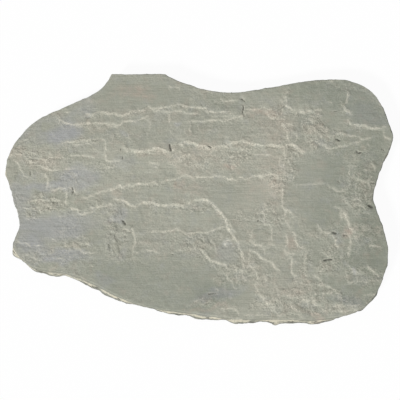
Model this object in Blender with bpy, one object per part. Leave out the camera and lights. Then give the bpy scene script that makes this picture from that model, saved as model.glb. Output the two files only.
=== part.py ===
"""Riven sandstone paver: one irregular stepping stone, split along its bedding.

The top is the natural split face, where thin bedding plates end in low ledges. The edge is
chiselled to a free outline from the top, and the underside is sawn flat, so that the stone lies
level on its bed. Lengths are in metres, +Z is up, and the origin is on the underside, at the
middle of the stone's box.
"""

import math

import bmesh
import bpy
import numpy as np
from mathutils import Vector
from mathutils.geometry import delaunay_2d_cdt

NAME = "sandstone_paver"
SEED = 11

# Size of the stone seen from above, to which the outline and all that lies on it are stretched
LENGTH = 0.566
WIDTH = 0.372

# Underside to the mean level of the split face
THICKNESS = 0.034

# Top edge of the stone seen from above, anticlockwise. The last point and the first are the two
# ends of the one straight edge, and a smooth curve runs through all the others.
OUTLINE = (
    (-0.131, 0.188), (-0.140, 0.170), (-0.159, 0.154), (-0.192, 0.139), (-0.240, 0.114),
    (-0.263, 0.089), (-0.275, 0.068), (-0.281, 0.039), (-0.271, 0.000), (-0.261, -0.030),
    (-0.258, -0.048), (-0.265, -0.076), (-0.250, -0.099), (-0.227, -0.111), (-0.195, -0.116),
    (-0.165, -0.125), (-0.120, -0.147), (-0.088, -0.161), (-0.050, -0.169), (0.000, -0.176),
    (0.045, -0.182), (0.100, -0.182), (0.145, -0.184), (0.190, -0.181), (0.224, -0.171),
    (0.247, -0.152), (0.262, -0.123), (0.271, -0.084), (0.263, -0.042), (0.253, -0.006),
    (0.261, 0.026), (0.272, 0.053), (0.285, 0.082), (0.283, 0.101), (0.273, 0.135),
    (0.259, 0.158), (0.237, 0.173), (0.206, 0.179), (0.151, 0.175), (0.100, 0.165),
    (0.060, 0.159), (0.020, 0.161), (-0.015, 0.171), (-0.043, 0.183), (-0.051, 0.188),
)

# Ledges of the split face, each the height of its drop and the line that it follows. The high side
# is on the left of the line, so a ledge drawn from west to east looks south.
LEDGES = (
    (0.0018, ((-0.170, 0.122), (-0.150, 0.126), (-0.120, 0.121), (-0.092, 0.128), (-0.062, 0.134),
              (-0.030, 0.139), (-0.015, 0.134), (0.008, 0.134), (0.022, 0.126), (0.045, 0.127))),
    (0.0012, ((-0.070, 0.127), (-0.046, 0.126), (-0.022, 0.127), (0.000, 0.124))),
    (0.0014, ((-0.018, 0.110), (0.000, 0.112), (0.022, 0.114), (0.045, 0.116), (0.066, 0.120))),
    (0.0020, ((-0.208, 0.121), (-0.200, 0.112), (-0.188, 0.107), (-0.158, 0.110), (-0.128, 0.107),
              (-0.103, 0.113), (-0.092, 0.112))),
    (0.0028, ((-0.105, 0.072), (-0.093, 0.066), (-0.072, 0.067), (-0.057, 0.070), (-0.042, 0.064),
              (-0.030, 0.077), (-0.012, 0.079), (0.008, 0.072), (0.027, 0.073), (0.050, 0.079),
              (0.065, 0.082), (0.092, 0.075), (0.122, 0.073))),
    (0.0016, ((-0.172, -0.005), (-0.150, 0.001), (-0.130, 0.006), (-0.116, 0.012), (-0.095, 0.013),
              (-0.065, 0.018), (-0.042, 0.022), (-0.021, 0.030), (-0.011, 0.026), (0.025, 0.027),
              (0.043, 0.023), (0.062, 0.026), (0.074, 0.025), (0.097, 0.029), (0.115, 0.025))),
    (0.0030, ((-0.188, -0.021), (-0.173, -0.029), (-0.150, -0.026), (-0.135, -0.018),
              (-0.118, -0.008), (-0.107, -0.011), (-0.091, -0.018), (-0.067, -0.012),
              (-0.050, -0.017), (-0.022, -0.016), (-0.003, -0.008), (0.017, -0.013),
              (0.034, -0.031), (0.040, -0.048), (0.052, -0.067), (0.059, -0.081))),
    (0.0012, ((-0.070, -0.056), (-0.050, -0.056), (-0.032, -0.050), (-0.018, -0.059),
              (0.012, -0.057), (0.033, -0.051))),
    (0.0016, ((-0.078, -0.083), (-0.056, -0.087), (-0.040, -0.089), (-0.030, -0.082),
              (0.000, -0.080), (0.015, -0.097), (0.038, -0.105), (0.045, -0.113))),
    (0.0016, ((0.070, -0.078), (0.080, -0.086), (0.090, -0.096), (0.103, -0.101), (0.117, -0.117))),
    (0.0014, ((0.155, 0.081), (0.179, 0.077), (0.188, 0.071), (0.200, 0.072), (0.222, 0.077),
              (0.241, 0.083))),
    (0.0020, ((0.222, 0.162), (0.215, 0.137), (0.224, 0.125), (0.223, 0.110), (0.240, 0.106),
              (0.255, 0.101), (0.275, 0.105))),
    (0.0016, ((0.121, 0.010), (0.121, -0.010), (0.125, -0.030), (0.125, -0.042), (0.131, -0.052),
              (0.138, -0.066), (0.143, -0.077))),
    (0.0013, ((0.131, -0.090), (0.132, -0.113), (0.137, -0.131))),
    (0.0018, ((0.129, 0.155), (0.133, 0.138), (0.142, 0.127), (0.160, 0.128), (0.183, 0.130))),
    (0.0015, ((0.130, 0.103), (0.131, 0.086), (0.138, 0.076), (0.147, 0.063))),
    (0.0014, ((-0.225, 0.034), (-0.219, 0.020), (-0.216, 0.008), (-0.203, 0.011), (-0.194, 0.007),
              (-0.192, -0.006))),
    (0.0012, ((-0.198, 0.080), (-0.172, 0.085), (-0.148, 0.086), (-0.138, 0.079), (-0.137, 0.060),
              (-0.130, 0.050), (-0.115, 0.052))),
    (0.0012, ((0.070, -0.107), (0.080, -0.117), (0.083, -0.138), (0.090, -0.153), (0.102, -0.167))),
    (0.0015, ((0.209, -0.026), (0.215, -0.044), (0.227, -0.060))),
    (0.0012, ((0.217, -0.072), (0.214, -0.094), (0.220, -0.109), (0.240, -0.109), (0.254, -0.121))),
    (0.0013, ((0.160, -0.119), (0.173, -0.132), (0.195, -0.143), (0.203, -0.158))),
    (0.0010, ((-0.180, -0.071), (-0.168, -0.084), (-0.149, -0.087))),
    (0.0012, ((-0.112, -0.054), (-0.097, -0.051), (-0.091, -0.070), (-0.095, -0.093))),
    (0.0012, ((0.186, 0.016), (0.197, 0.007), (0.212, 0.006))),
    (0.0012, ((0.218, 0.042), (0.222, 0.027), (0.238, 0.021), (0.247, 0.012))),
    (0.0012, ((-0.267, 0.050), (-0.260, 0.038), (-0.248, 0.025))),
    (0.0012, ((0.186, 0.089), (0.206, 0.095), (0.218, 0.090), (0.234, 0.090))),
)
LEDGE_WIDTH = 0.0018
LEDGE_REACH = 0.030
LEDGE_FADE = 0.012

# Slow waves of the bedding plates between the ledges
SWELL_HEIGHT = 0.0006
SWELL_LENGTH = 0.110

# Chiselled edge, from the arris down to the sawn underside. It leans in evenly to the foot's line,
# and each blow of the chisel left a hollow in it, of its own length and depth.
ARRIS_ROUND = 0.0012
BELLY_HEIGHT = 0.015
BELLY_REACH = 0.0005
FOOT_HEIGHT = 0.004
FOOT_UNDERCUT = 0.0004
SAWN_CHAMFER = 0.0015
BITE_LENGTH = 0.031
BITE_LENGTH_SPREAD = 0.7
BITE_DEPTH = 0.0016
SHALLOWEST_BITE = 0.1

# Places where the foot of the edge stands further out than elsewhere, or lies further in: where,
# how far, and along what length
SPALLS = (
    ((-0.266, -0.080), 0.0085, 0.010),
    ((-0.248, -0.100), -0.0012, 0.008),
    ((-0.210, -0.114), 0.0013, 0.012),
    ((-0.193, -0.117), -0.0026, 0.007),
    ((-0.162, -0.127), 0.0020, 0.016),
    ((-0.133, -0.141), 0.0048, 0.012),
    ((-0.092, -0.160), -0.0030, 0.010),
    ((-0.074, -0.165), -0.0042, 0.013),
    ((-0.018, -0.174), -0.0018, 0.007),
    ((0.000, -0.176), 0.0020, 0.009),
    ((0.036, -0.181), -0.0030, 0.010),
    ((0.060, -0.182), 0.0022, 0.014),
    ((0.078, -0.182), 0.0014, 0.006),
    ((0.109, -0.183), 0.0050, 0.006),
    ((0.123, -0.183), 0.0026, 0.009),
    ((0.172, -0.183), 0.0024, 0.014),
    ((0.206, -0.177), -0.0072, 0.013),
    ((0.228, -0.168), -0.0030, 0.009),
    ((-0.283, 0.037), 0.0060, 0.010),
)

# Spacing of the mesh along the edge, along the ledges and over the plates between them
EDGE_SPACING = 0.0060
LEDGE_SPACING = 0.0070
PLATE_SPACING = 0.0170

STONE_COLOUR = (0.36, 0.36, 0.31, 1.0)
STONE_ROUGHNESS = 0.92


def to_size(points):
    """Points of the drawn plan, stretched so that the outline has the stone's length and width."""
    return np.array(points) * np.array([LENGTH, WIDTH]) / np.ptp(np.array(OUTLINE), axis=0)


def smooth_path(points, spacing, closed=False):
    """Points at an even spacing along the Catmull-Rom curve through the given ones."""
    given = np.array(points)
    ends = 2 * given[0] - given[1], 2 * given[-1] - given[-2]
    padded = np.vstack([ends[0], given, ends[1]])
    t = np.linspace(0, 1, 24, endpoint=False)[:, None]
    spans = []
    for before, start, end, after in zip(padded, padded[1:], padded[2:], padded[3:]):
        spans.append(0.5 * (
            2 * start
            + (end - before) * t
            + (2 * before - 5 * start + 4 * end - after) * t**2
            + (3 * start - before - 3 * end + after) * t**3
        ))
    curve = np.vstack([*spans, given[-1:], given[:1]] if closed else [*spans, given[-1:]])
    run = np.concatenate([[0], np.cumsum(np.linalg.norm(np.diff(curve, axis=0), axis=1))])
    count = max(2, round(run[-1] / spacing))
    places = np.linspace(0, run[-1], count + 1)[: count if closed else count + 1]
    return np.column_stack([np.interp(places, run, curve[:, k]) for k in (0, 1)])


def to_path(points, path):
    """For each point: its distance to the path, +1 on the path's left or -1 on its right, and how
    far along the path the nearest place is."""
    start, step = path[:-1], np.diff(path, axis=0)
    length = np.linalg.norm(step, axis=1)
    away = points[:, None] - start
    share = np.clip((away * step).sum(2) / length**2, 0, 1)
    gap = np.linalg.norm(away - share[..., None] * step, axis=2)
    nearest = gap.argmin(axis=1)
    row = np.arange(len(points))
    cross = step[:, 0] * away[..., 1] - step[:, 1] * away[..., 0]
    along = np.concatenate([[0], np.cumsum(length)])[nearest] + share[row, nearest] * length[nearest]
    return gap[row, nearest], np.where(cross[row, nearest] < 0, -1.0, 1.0), along


def ledge_lift(points, height, path):
    """Height that one ledge adds: half its drop up at the crest and half down at the foot, dying
    away into the plates on both sides and towards the ledge's ends."""
    gap, side, along = to_path(points, path)
    total = np.linalg.norm(np.diff(path, axis=0), axis=1).sum()
    half = LEDGE_WIDTH / 2
    slope = np.minimum(gap / half, 1) * np.exp(-np.maximum(gap - half, 0) / LEDGE_REACH)
    fade = np.clip(np.minimum(along, total - along) / LEDGE_FADE, 0, 1)
    return 0.5 * height * side * slope * fade


def swell(points):
    """Slow waves in three fixed directions."""
    height = np.zeros(len(points))
    for turn in range(3):
        angle = math.radians(25 + 55 * turn)
        run = points @ np.array([math.cos(angle), math.sin(angle)])
        height += np.sin(2 * math.pi * run / SWELL_LENGTH + 1.7 * turn)
    return SWELL_HEIGHT * height / 3


def split_face(points, ledges):
    """Height of the split face above the underside."""
    return THICKNESS + swell(points) + sum(ledge_lift(points, h, path) for h, path in ledges)


def offset(path, side):
    """The path moved sideways to its left by the given amount."""
    along = np.gradient(path, axis=0)
    left = np.column_stack([-along[:, 1], along[:, 0]])
    return path + side * left / np.linalg.norm(left, axis=1)[:, None]


def outward(ring):
    """Unit vectors out of a closed anticlockwise ring."""
    along = np.roll(ring, -1, axis=0) - np.roll(ring, 1, axis=0)
    out = np.column_stack([along[:, 1], -along[:, 0]])
    return out / np.linalg.norm(out, axis=1)[:, None]


def chisel_bites(count, perimeter):
    """Depth of the hollows that the chisel's blows left, along the edge, each deepest midway."""
    random = np.random.default_rng(SEED)
    blows = round(perimeter / BITE_LENGTH)
    ends = np.cumsum(random.uniform(1 - BITE_LENGTH_SPREAD, 1 + BITE_LENGTH_SPREAD, blows))
    starts, ends = np.append(0, ends[:-1]) / ends[-1], ends / ends[-1]
    depths = BITE_DEPTH * random.uniform(SHALLOWEST_BITE, 1, blows)
    share = np.arange(count) / count
    blow = np.searchsorted(ends, share, side="right")
    within = (share - starts[blow]) / (ends - starts)[blow]
    return depths[blow] * 4 * within * (1 - within)


def foot_line(ring):
    """How far the foot of the edge reaches out beyond each point of the arris."""
    reach = np.full(len(ring), -FOOT_UNDERCUT)
    for place, out, along in SPALLS:
        gap = np.linalg.norm(ring - to_size(place), axis=1)
        reach += out * np.exp(-((gap / along) ** 2))
    return reach


def edge_rings(arris, ledges):
    """Rings of points from the split face's border down to the underside's."""
    perimeter = np.linalg.norm(np.roll(arris, -1, axis=0) - arris, axis=1).sum()
    bites = chisel_bites(len(arris), perimeter)
    foot = foot_line(arris)
    out = outward(arris)
    border = arris - ARRIS_ROUND * out
    crest = split_face(border, ledges)

    def ring(reach, height):
        lean = foot * (1 - height / THICKNESS)
        place = arris + (reach + lean)[:, None] * out
        return np.column_stack([place, np.broadcast_to(height, len(arris))])

    return [
        np.column_stack([border, crest]),
        ring(np.zeros(len(arris)), crest - ARRIS_ROUND),
        ring(BELLY_REACH - bites, BELLY_HEIGHT),
        ring(-bites, FOOT_HEIGHT),
        ring(-SAWN_CHAMFER - bites, 0.0),
    ]


def plate_points(border, lines):
    """A triangular lattice over the plates, kept clear of the border and of the ledge lines."""
    low, high = border.min(axis=0), border.max(axis=0)
    rows = np.arange(low[1], high[1], PLATE_SPACING * math.sqrt(3) / 2)
    lattice = []
    for number, y in enumerate(rows):
        x = np.arange(low[0] + (number % 2) * PLATE_SPACING / 2, high[0], PLATE_SPACING)
        lattice.append(np.column_stack([x, np.full(len(x), y)]))
    points = np.vstack(lattice)
    ring = np.vstack([border, border[:1]])
    gap, side, _ = to_path(points, ring)
    points = points[(gap > 0.5 * PLATE_SPACING) & (side > 0)]
    for line in lines:
        points = points[to_path(points, line)[0] > 0.4 * PLATE_SPACING]
    return points


def split_face_mesh(border, ledges):
    """Triangles of the split face, with the crest and the foot of each ledge as edges. The
    border's points come first, in their order."""
    ring = np.vstack([border, border[:1]])
    lines = []
    for _, path in ledges:
        for side in (-LEDGE_WIDTH / 2, LEDGE_WIDTH / 2):
            line = offset(path, side)
            gap, inside, _ = to_path(line, ring)
            lines.append(line[(gap > 0.3 * EDGE_SPACING) & (inside > 0)])
    points = np.vstack([border, *lines, plate_points(border, lines)])
    edges, first = [], len(border)
    for line in lines:
        edges += [(first + k, first + k + 1) for k in range(len(line) - 1)]
        first += len(line)
    outline = [list(range(len(border)))]
    made = delaunay_2d_cdt([Vector(p) for p in points], edges, outline, 1, 1e-5)
    vertices = np.array([tuple(v) for v in made[0]])
    return vertices, made[2]


def build_stone(collection):
    """The stone's one mesh: split face, chiselled edge and sawn underside."""
    ledges = [(height, smooth_path(to_size(line), LEDGE_SPACING)) for height, line in LEDGES]
    arris = smooth_path(to_size(OUTLINE), EDGE_SPACING, closed=True)
    rings = edge_rings(arris, ledges)
    face_points, faces = split_face_mesh(rings[0][:, :2], ledges)
    top = np.column_stack([face_points, split_face(face_points, ledges)])

    every = np.vstack([top, *rings])
    middle = (every.min(axis=0) + every.max(axis=0)) / 2
    shift = Vector((-middle[0], -middle[1], 0))

    work = bmesh.new()
    top_verts = [work.verts.new(Vector(p) + shift) for p in top]
    for face in faces:
        work.faces.new([top_verts[k] for k in face])
    loops = [top_verts[: len(arris)]]
    loops += [[work.verts.new(Vector(p) + shift) for p in ring] for ring in rings[1:]]
    for upper, lower in zip(loops, loops[1:]):
        for k in range(len(arris)):
            work.faces.new((upper[k - 1], lower[k - 1], lower[k], upper[k]))
    work.faces.new(loops[-1])
    bmesh.ops.recalc_face_normals(work, faces=work.faces)

    mesh = bpy.data.meshes.new(NAME)
    work.to_mesh(mesh)
    work.free()
    mesh.shade_smooth()
    mesh.set_sharp_from_angle(angle=math.radians(25))
    mesh.materials.append(stone_material())
    collection.objects.link(bpy.data.objects.new(NAME, mesh))


def stone_material():
    """Grey-green sandstone, dull all over."""
    material = bpy.data.materials.new("sandstone")
    material.use_nodes = True
    shader = material.node_tree.nodes["Principled BSDF"]
    shader.inputs["Base Color"].default_value = STONE_COLOUR
    shader.inputs["Roughness"].default_value = STONE_ROUGHNESS
    shader.inputs["Metallic"].default_value = 0.0
    return material


def main():
    for obj in list(bpy.data.objects):
        bpy.data.objects.remove(obj)
    collection = bpy.data.collections.new("Riven sandstone paver")
    bpy.context.scene.collection.children.link(collection)
    build_stone(collection)


main()
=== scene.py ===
"""Riven sandstone paver: the stone's fine surface, its colours and the stage it lies on.

The stone is one closed surface. Its split face is a grid stretched between the four sides of the
edge line and lifted by the bedding ledges, the terraces between them and the crumbled patches. The
chiselled edge is a set of rings below that grid, and the sawn underside closes them.
"""

import math

import bpy
import numpy as np
from bpy.props import FloatProperty, FloatVectorProperty, IntProperty, PointerProperty
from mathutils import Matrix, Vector


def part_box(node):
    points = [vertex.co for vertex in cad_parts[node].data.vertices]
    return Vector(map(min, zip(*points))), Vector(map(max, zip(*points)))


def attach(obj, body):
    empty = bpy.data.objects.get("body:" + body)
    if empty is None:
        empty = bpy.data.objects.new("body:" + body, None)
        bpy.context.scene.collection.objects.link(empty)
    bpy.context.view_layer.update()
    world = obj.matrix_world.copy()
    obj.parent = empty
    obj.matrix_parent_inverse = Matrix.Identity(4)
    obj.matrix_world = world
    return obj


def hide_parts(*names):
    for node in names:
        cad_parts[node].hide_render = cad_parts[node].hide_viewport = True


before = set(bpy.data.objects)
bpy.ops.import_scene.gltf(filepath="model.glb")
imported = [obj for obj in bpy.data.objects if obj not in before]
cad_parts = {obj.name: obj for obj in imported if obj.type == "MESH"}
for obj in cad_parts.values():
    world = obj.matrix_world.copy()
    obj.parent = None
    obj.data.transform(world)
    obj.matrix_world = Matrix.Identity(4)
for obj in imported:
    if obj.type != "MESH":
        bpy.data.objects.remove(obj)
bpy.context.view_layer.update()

bl_info = {
    "name": "Riven Sandstone Paver",
    "version": (1, 0, 0),
    "blender": (4, 5, 0),
    "location": "3D View > Sidebar > Paver",
    "description": "Builds a riven sandstone stepping stone and a plain stage for it",
    "category": "Add Mesh",
}

MM = 0.001
NODE = "sandstone_paver"
WHITE = (1.0, 1.0, 1.0, 1.0)
SENSOR_WIDTH = 36.0
FLOOR_SIDES = 64
CAD_LOW, CAD_HIGH = (np.array(corner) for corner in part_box(NODE))

# Top edge of the stone seen from above, anticlockwise. The last point and the first are the two
# ends of the one straight edge.
OUTLINE = (
    (-0.131, 0.188), (-0.140, 0.170), (-0.159, 0.154), (-0.192, 0.139), (-0.240, 0.114),
    (-0.263, 0.089), (-0.275, 0.068), (-0.281, 0.039), (-0.271, 0.000), (-0.261, -0.030),
    (-0.258, -0.048), (-0.265, -0.076), (-0.250, -0.099), (-0.227, -0.111), (-0.195, -0.116),
    (-0.165, -0.125), (-0.120, -0.147), (-0.088, -0.161), (-0.050, -0.169), (0.000, -0.176),
    (0.045, -0.182), (0.100, -0.182), (0.145, -0.184), (0.190, -0.181), (0.224, -0.171),
    (0.247, -0.152), (0.262, -0.123), (0.271, -0.084), (0.263, -0.042), (0.253, -0.006),
    (0.261, 0.026), (0.272, 0.053), (0.285, 0.082), (0.283, 0.101), (0.273, 0.135),
    (0.259, 0.158), (0.237, 0.173), (0.206, 0.179), (0.151, 0.175), (0.100, 0.165),
    (0.060, 0.159), (0.020, 0.161), (-0.015, 0.171), (-0.043, 0.183), (-0.051, 0.188),
)

# The four corners between which the grid is stretched
SOUTH_WEST = (-0.260, -0.075)
SOUTH_EAST = (0.247, -0.152)
NORTH_EAST = (0.257, 0.157)
NORTH_WEST = (-0.240, 0.114)

# Ledges of the split face, in millimetres: the height of the drop, and the line that it follows
# with the high side on its left. Those that cross the stone come first, from north to south, and
# then those of its east half.
LEDGES = (
    (1.8, ((-170, 122), (-158, 122), (-150, 126), (-140, 126), (-133, 124), (-126, 125),
           (-120, 121), (-110, 121), (-104, 123), (-99, 128), (-92, 128), (-80, 130), (-75, 135),
           (-70, 132), (-62, 134), (-53, 133), (-47, 135), (-40, 136), (-30, 139), (-22, 136),
           (-15, 134), (8, 134), (12, 128), (22, 126), (30, 127), (45, 127))),
    (1.2, ((-70, 127), (-60, 128), (-46, 126), (-35, 128), (-22, 127), (-18, 125), (0, 124))),
    (1.4, ((-18, 110), (-12, 113), (0, 112), (22, 114), (38, 113), (45, 116), (66, 120))),
    (2.0, ((-208, 121), (-205, 115), (-200, 112), (-195, 109), (-188, 107), (-165, 109),
           (-158, 110), (-150, 108), (-140, 109), (-128, 107), (-118, 107), (-110, 112),
           (-103, 113), (-92, 112))),
    (3.0, ((-105, 72), (-100, 67), (-93, 66), (-80, 65), (-72, 67), (-62, 71), (-57, 70),
           (-50, 66), (-42, 64), (-36, 69), (-30, 77), (-24, 76), (-20, 80), (-12, 79), (-5, 77),
           (0, 73), (8, 72), (15, 70), (20, 74), (27, 73), (50, 73))),
    (2.2, ((37, 77), (50, 78), (55, 79), (60, 82), (68, 81), (75, 78), (85, 76), (92, 75),
           (97, 73), (105, 75), (113, 74), (120, 72), (128, 73))),
    (1.6, ((-172, -5), (-165, -6), (-155, -3), (-150, 1), (-140, 4), (-130, 6), (-120, 9),
           (-116, 13), (-112, 10), (-104, 13), (-95, 13), (-85, 16), (-78, 15), (-65, 18),
           (-57, 13))),
    (1.4, ((-56, 16), (-50, 20), (-42, 22), (-33, 24), (-28, 26), (-21, 30), (-15, 29),
           (-11, 26), (12, 26), (25, 27), (38, 26), (43, 23), (50, 23), (58, 21))),
    (1.4, ((54, 24), (62, 26), (68, 23), (74, 25), (85, 28), (93, 26), (97, 29), (105, 30),
           (113, 29), (117, 24))),
    (2.4, ((-190, -19), (-182, -22), (-176, -24), (-173, -29), (-168, -29), (-160, -27),
           (-150, -26))),
    (1.2, ((-160, -21), (-150, -21), (-143, -18), (-135, -18), (-130, -14), (-125, -12))),
    (3.2, ((-125, -9), (-118, -8), (-110, -8), (-107, -11), (-103, -13), (-97, -17), (-91, -18),
           (-85, -15), (-80, -13), (-67, -12), (-62, -16), (-50, -17), (-32, -16), (-22, -18))),
    (2.2, ((-22, -13), (-13, -13), (-8, -10), (-3, -8), (10, -9), (17, -13), (22, -18),
           (30, -26), (34, -31), (38, -36), (40, -42), (40, -48), (46, -56), (49, -62), (52, -67),
           (55, -73), (57, -79), (60, -84), (62, -90), (65, -96), (67, -102))),
    (1.2, ((-70, -56), (-60, -55), (-50, -56), (-36, -54), (-32, -50), (-28, -54), (-23, -55),
           (-18, -59), (-10, -59), (0, -57), (12, -57), (18, -55), (25, -52), (33, -49),
           (39, -50))),
    (1.3, ((-79, -83), (-70, -84), (-62, -85), (-55, -88))),
    (0.6, ((-37, -85), (-28, -82), (-20, -83), (-12, -81), (0, -80))),
    (2.0, ((-2, -80), (4, -83), (7, -88), (15, -97), (22, -100), (28, -102), (38, -105),
           (40, -109), (45, -113))),
    (1.3, ((70, -79), (73, -85), (80, -85), (84, -88), (86, -93), (94, -97), (100, -99),
           (105, -103), (108, -109), (112, -112), (117, -116))),
    (1.4, ((155, 81), (165, 81), (172, 80), (179, 77), (184, 75), (188, 71), (195, 70),
           (200, 72), (216, 74), (222, 77), (232, 79), (241, 83))),
    (2.0, ((219, 118), (222, 112), (224, 108), (230, 107), (236, 105), (244, 106), (250, 103),
           (255, 101), (270, 102), (276, 105))),
    (2.0, ((222, 162), (222, 150), (219, 142), (215, 137), (217, 131), (222, 128), (225, 124),
           (226, 120))),
    (1.6, ((121, 12), (121, 0), (121, -10), (122, -18), (124, -24), (125, -30), (124, -35))),
)

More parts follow.
